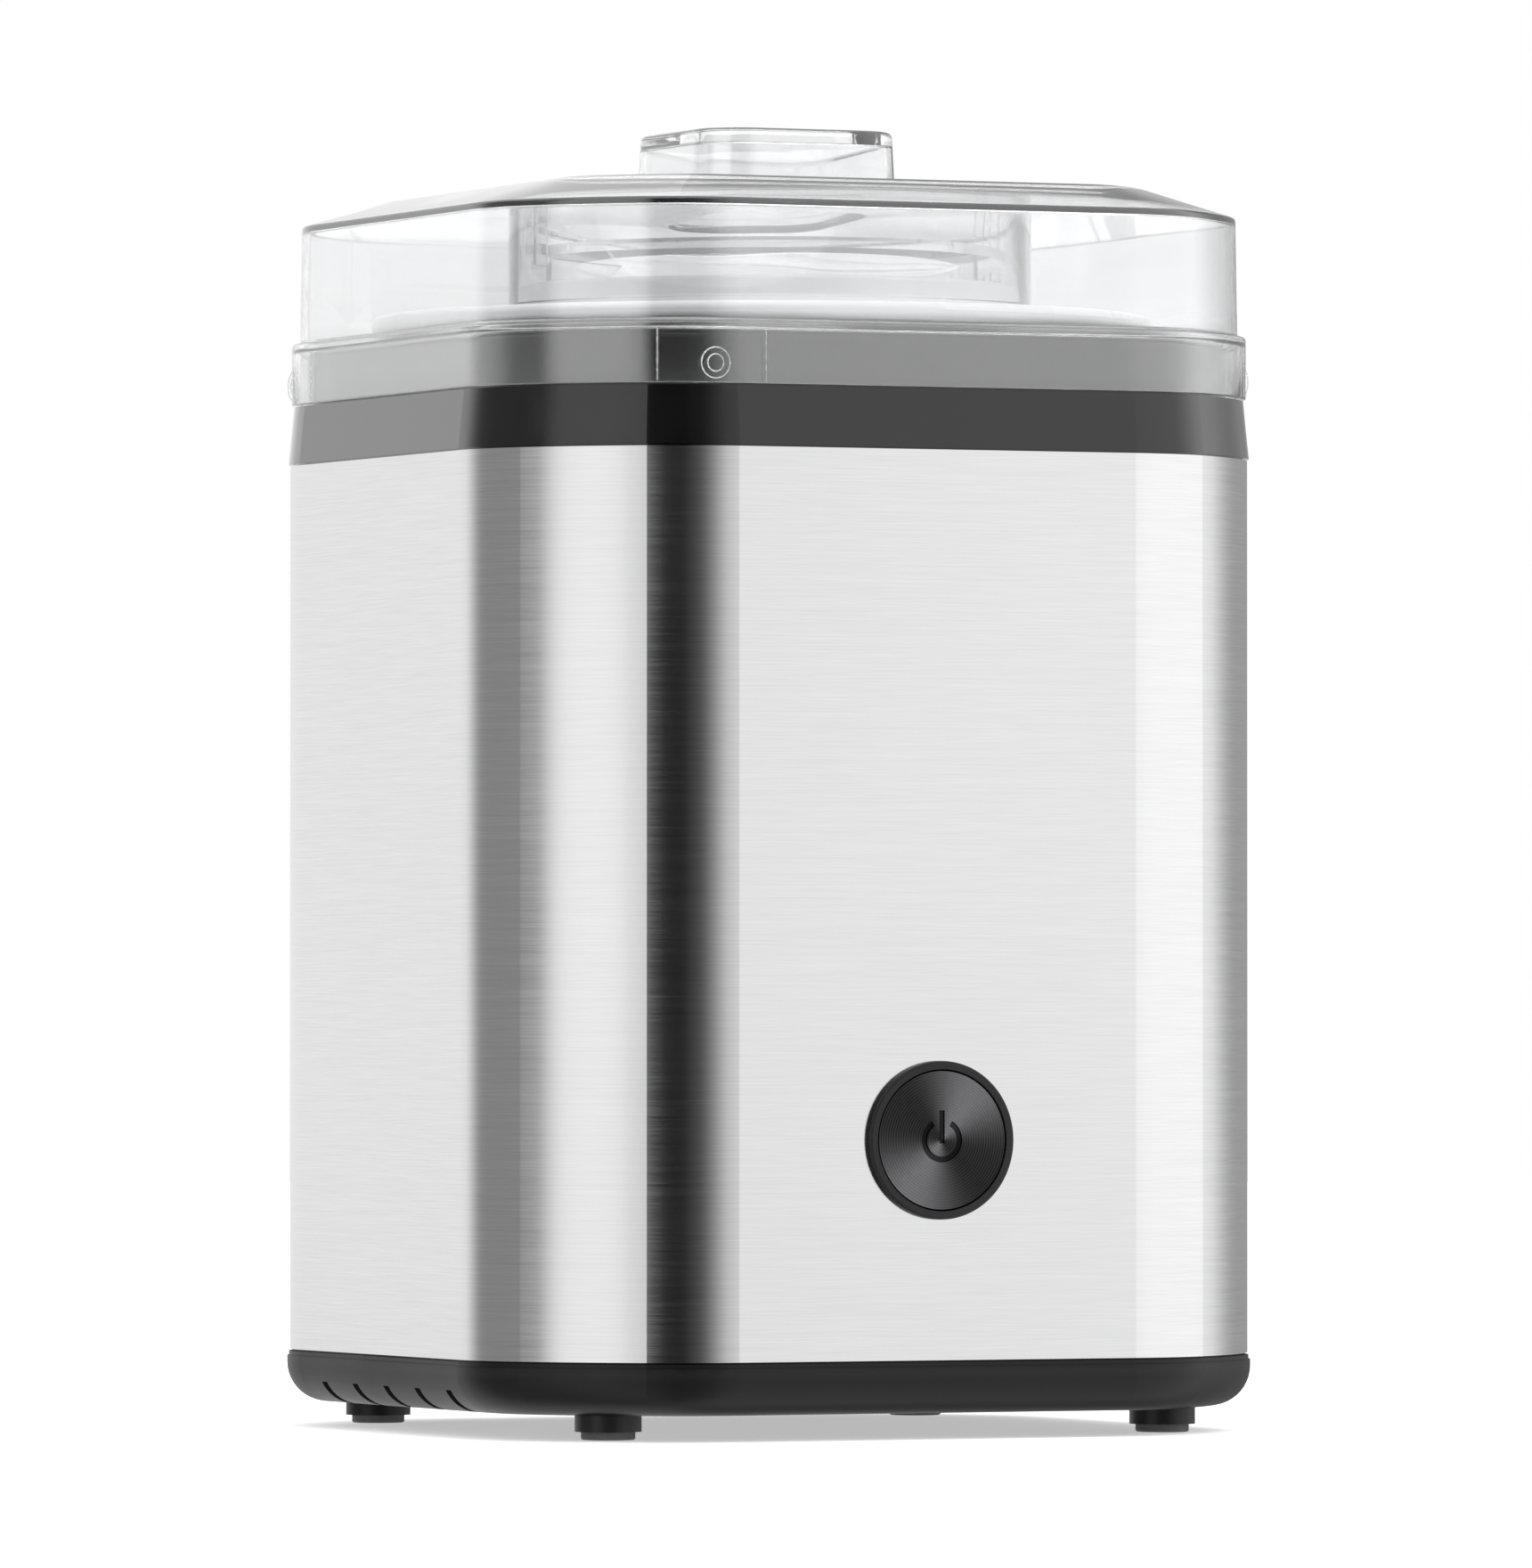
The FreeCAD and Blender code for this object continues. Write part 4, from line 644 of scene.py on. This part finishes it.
def tab_lines():
    """Thin bars at the cut faces of the slits beside each snap tab."""
    bm = bmesh.new()
    bottom = lid_bottom() + 0.5
    top = bottom + TAB_LINE_LENGTH
    thin = 0.05
    reach = 0.3
    for turn in range(4):
        for edge in (-1, 1):
            (x, y), (out_x, out_y) = tab_point(turn, TAB_OFFSET + edge * TAB_WIDTH / 2, reach)
            wide_x = reach if out_x else thin
            wide_y = reach if out_y else thin
            rounded_bar(bm, (x - wide_x, y - wide_y, bottom), (x + wide_x, y + wide_y, top), 0.03)
    return dress(finish_mesh("tab_lines", bm, False), "lid", "clear_plastic", MATERIALS["frosted_edge"])


def lid_ribs():
    """Upright ribs inside the splash cylinder, in pairs beside the paddle's ends."""
    bm = bmesh.new()
    bottom = lid_bottom() + RIB_BOTTOM
    top = lid_bottom() + RIB_TOP
    for side in (-1, 1):
        ends = sorted((side * 55.4, side * (SPLASH_INNER - 0.1)))
        for edge in (-1, 1):
            y = edge * 4.5
            rounded_bar(bm, (ends[0], y - 0.75, bottom), (ends[1], y + 0.75, top), 0.3)
    return dress(finish_mesh("lid_ribs", bm, False), "lid", "clear_plastic")


clear_lid()
clear_cap()
lid_bosses()
tab_lines()
lid_ribs()


def soften(node, width, segments=2):
    """Rounds a CAD node's sharp edges a little, as moulding does."""
    bevel = NODES[node].modifiers.new("soft_edges", "BEVEL")
    bevel.width = width
    bevel.segments = segments
    bevel.limit_method = "ANGLE"
    bevel.angle_limit = math.radians(40.0)
    bevel.harden_normals = False


soften("paddle", 0.0004)


# ================================================================ studio
def world_light():
    """White surroundings with dark and light upright panels that only glossy rays see.

    Rays that have just passed through clear plastic see white instead when they head away from the camera
    or steeply up or down. All rays see the panels more faintly after several layers of clear plastic.
    """
    world = bpy.data.worlds.new("studio")
    bpy.context.scene.world = world
    world.use_nodes = True
    tree = world.node_tree
    tree.nodes.clear()

    def add(kind, **values):
        node = tree.nodes.new(kind)
        for key, value in values.items():
            setattr(node, key, value)
        return node

    def math_node(operation, first, second):
        node = add("ShaderNodeMath", operation=operation)
        for socket, value in zip(node.inputs, (first, second)):
            if isinstance(value, (int, float)):
                socket.default_value = value
            else:
                tree.links.new(value, socket)
        return node.outputs["Value"]

    def spread(value, start, end, low=0.0, high=1.0):
        node = add("ShaderNodeMapRange", interpolation_type="SMOOTHSTEP")
        node.inputs["From Min"].default_value = start
        node.inputs["From Max"].default_value = end
        node.inputs["To Min"].default_value = low
        node.inputs["To Max"].default_value = high
        tree.links.new(value, node.inputs["Value"])
        return node.outputs["Result"]

    coordinates = add("ShaderNodeTexCoord")
    turned = add("ShaderNodeVectorRotate", rotation_type="Z_AXIS")
    turned.inputs["Angle"].default_value = VIEW_TURN
    tree.links.new(coordinates.outputs["Generated"], turned.inputs["Vector"])
    parts = add("ShaderNodeSeparateXYZ")
    tree.links.new(turned.outputs["Vector"], parts.inputs[0])
    angle = math_node("ARCTAN2", parts.outputs["X"], math_node("MULTIPLY", parts.outputs["Y"], -1.0))
    level = STUDIO_LEVEL
    for name, centre, half_width, edge, brightness in STUDIO_PANELS:
        apart = math_node("ABSOLUTE", math_node("SUBTRACT", angle, math.radians(centre)), 0.0)
        inside = spread(apart, math.radians(half_width), math.radians(half_width + edge), 1.0, 0.0)
        panel = add("ShaderNodeMix", data_type="FLOAT", name=name)
        tree.links.new(inside, panel.inputs["Factor"])
        if level is STUDIO_LEVEL:
            panel.inputs["A"].default_value = level
        else:
            tree.links.new(level, panel.inputs["A"])
        panel.inputs["B"].default_value = brightness
        level = panel.outputs["Result"]
    overhead = add("ShaderNodeMix", data_type="RGBA")
    overhead.inputs["B"].default_value = (1.0, 1.0, 1.0, 1.0)
    tree.links.new(spread(parts.outputs["Z"], 0.45, 0.85), overhead.inputs["Factor"])
    tree.links.new(level, overhead.inputs["A"])
    panels = add("ShaderNodeBackground")
    tree.links.new(overhead.outputs["Result"], panels.inputs["Color"])
    tree.links.new(spread(parts.outputs["Z"], -0.07, 0.0, 0.9, 1.0), panels.inputs["Strength"])
    white = add("ShaderNodeBackground")
    white.inputs["Color"].default_value = (1.0, 1.0, 1.0, 1.0)
    rays = add("ShaderNodeLightPath")
    away = spread(parts.outputs["Y"], -0.4, 0.1)
    steep = spread(math_node("ABSOLUTE", parts.outputs["Z"], 0.0), 0.2, 0.42)
    behind = math_node("MULTIPLY", rays.outputs["Is Transmission Ray"], math_node("MAXIMUM", away, steep))
    straight = math_node("LESS_THAN", rays.outputs["Diffuse Depth"], 0.5)
    reflected = math_node("MULTIPLY", rays.outputs["Is Glossy Ray"], straight)
    layers = add("ShaderNodeMapRange")
    layers.inputs["From Min"].default_value = 2.0
    layers.inputs["From Max"].default_value = 6.0
    layers.inputs["To Min"].default_value = 1.0
    layers.inputs["To Max"].default_value = 0.3
    tree.links.new(rays.outputs["Transmission Depth"], layers.inputs["Value"])
    veil = layers.outputs["Result"]
    factor = math_node("MULTIPLY", math_node("MULTIPLY", reflected, veil), math_node("SUBTRACT", 1.0, behind))
    choose = add("ShaderNodeMixShader")
    tree.links.new(factor, choose.inputs["Fac"])
    tree.links.new(white.outputs[0], choose.inputs[1])
    tree.links.new(panels.outputs[0], choose.inputs[2])
    output = add("ShaderNodeOutputWorld")
    tree.links.new(choose.outputs[0], output.inputs["Surface"])


world_light()


def floor():
    """A plain pale floor."""
    mesh = bpy.data.meshes.new("floor")
    piece = bpy.data.objects.new("floor", mesh)
    bpy.context.scene.collection.objects.link(piece)
    bm = bmesh.new()
    bmesh.ops.create_circle(bm, cap_ends=True, segments=96, radius=4.0)
    bm.to_mesh(mesh)
    bm.free()
    s = Shader("floor")
    cloud = s.noise(3.0, 2.0)
    s.link(blend_colour(s, s.spread(cloud, 0.0, 1.0), (0.94, 0.94, 0.94), (0.96, 0.96, 0.96)),
           s.surface.inputs["Base Color"])
    s.put(Roughness=0.9, Specular_IOR_Level=0.0, Emission_Color=(1.0, 1.0, 1.0, 1.0), Emission_Strength=0.45)
    mesh.materials.append(s.material)
    piece.location.z = -0.0002
    piece.visible_glossy = False


floor()


def soft_light(name, place, aim, size, power):
    light = bpy.data.lights.new(name, "AREA")
    light.shape = "RECTANGLE"
    light.size, light.size_y = size
    light.energy = power
    lamp = bpy.data.objects.new(name, light)
    lamp.location = place
    lamp.rotation_euler = (Vector(aim) - Vector(place)).to_track_quat("-Z", "Y").to_euler()
    lamp.visible_glossy = False
    bpy.context.scene.collection.objects.link(lamp)


soft_light("top_light", (0.3, -0.6, 1.8), (0, 0, 0.1), (1.6, 1.6), 14.0)


# ================================================================ camera
def camera():
    low, high = cad_box
    centre = (Vector(low) + Vector(high)) / 2
    data = bpy.data.cameras.new("camera")
    data.sensor_width = 36.0
    data.lens = CAMERA_LENS
    data.clip_start = 0.1
    data.clip_end = 50.0
    eye = bpy.data.objects.new("camera", data)
    back_x = CAMERA_DISTANCE * math.sin(VIEW_TURN)
    back_y = CAMERA_DISTANCE * math.cos(VIEW_TURN)
    eye.location = (centre.x - back_x, centre.y - back_y, CAMERA_HEIGHT)
    eye.rotation_euler = (math.pi / 2 + CAMERA_TILT, 0.0, -VIEW_TURN)
    bpy.context.scene.collection.objects.link(eye)
    bpy.context.scene.camera = eye


camera()

scene = bpy.context.scene
scene.view_settings.view_transform = "Standard"
scene.cycles.max_bounces = 32
scene.cycles.transmission_bounces = 32
scene.cycles.transparent_max_bounces = 32
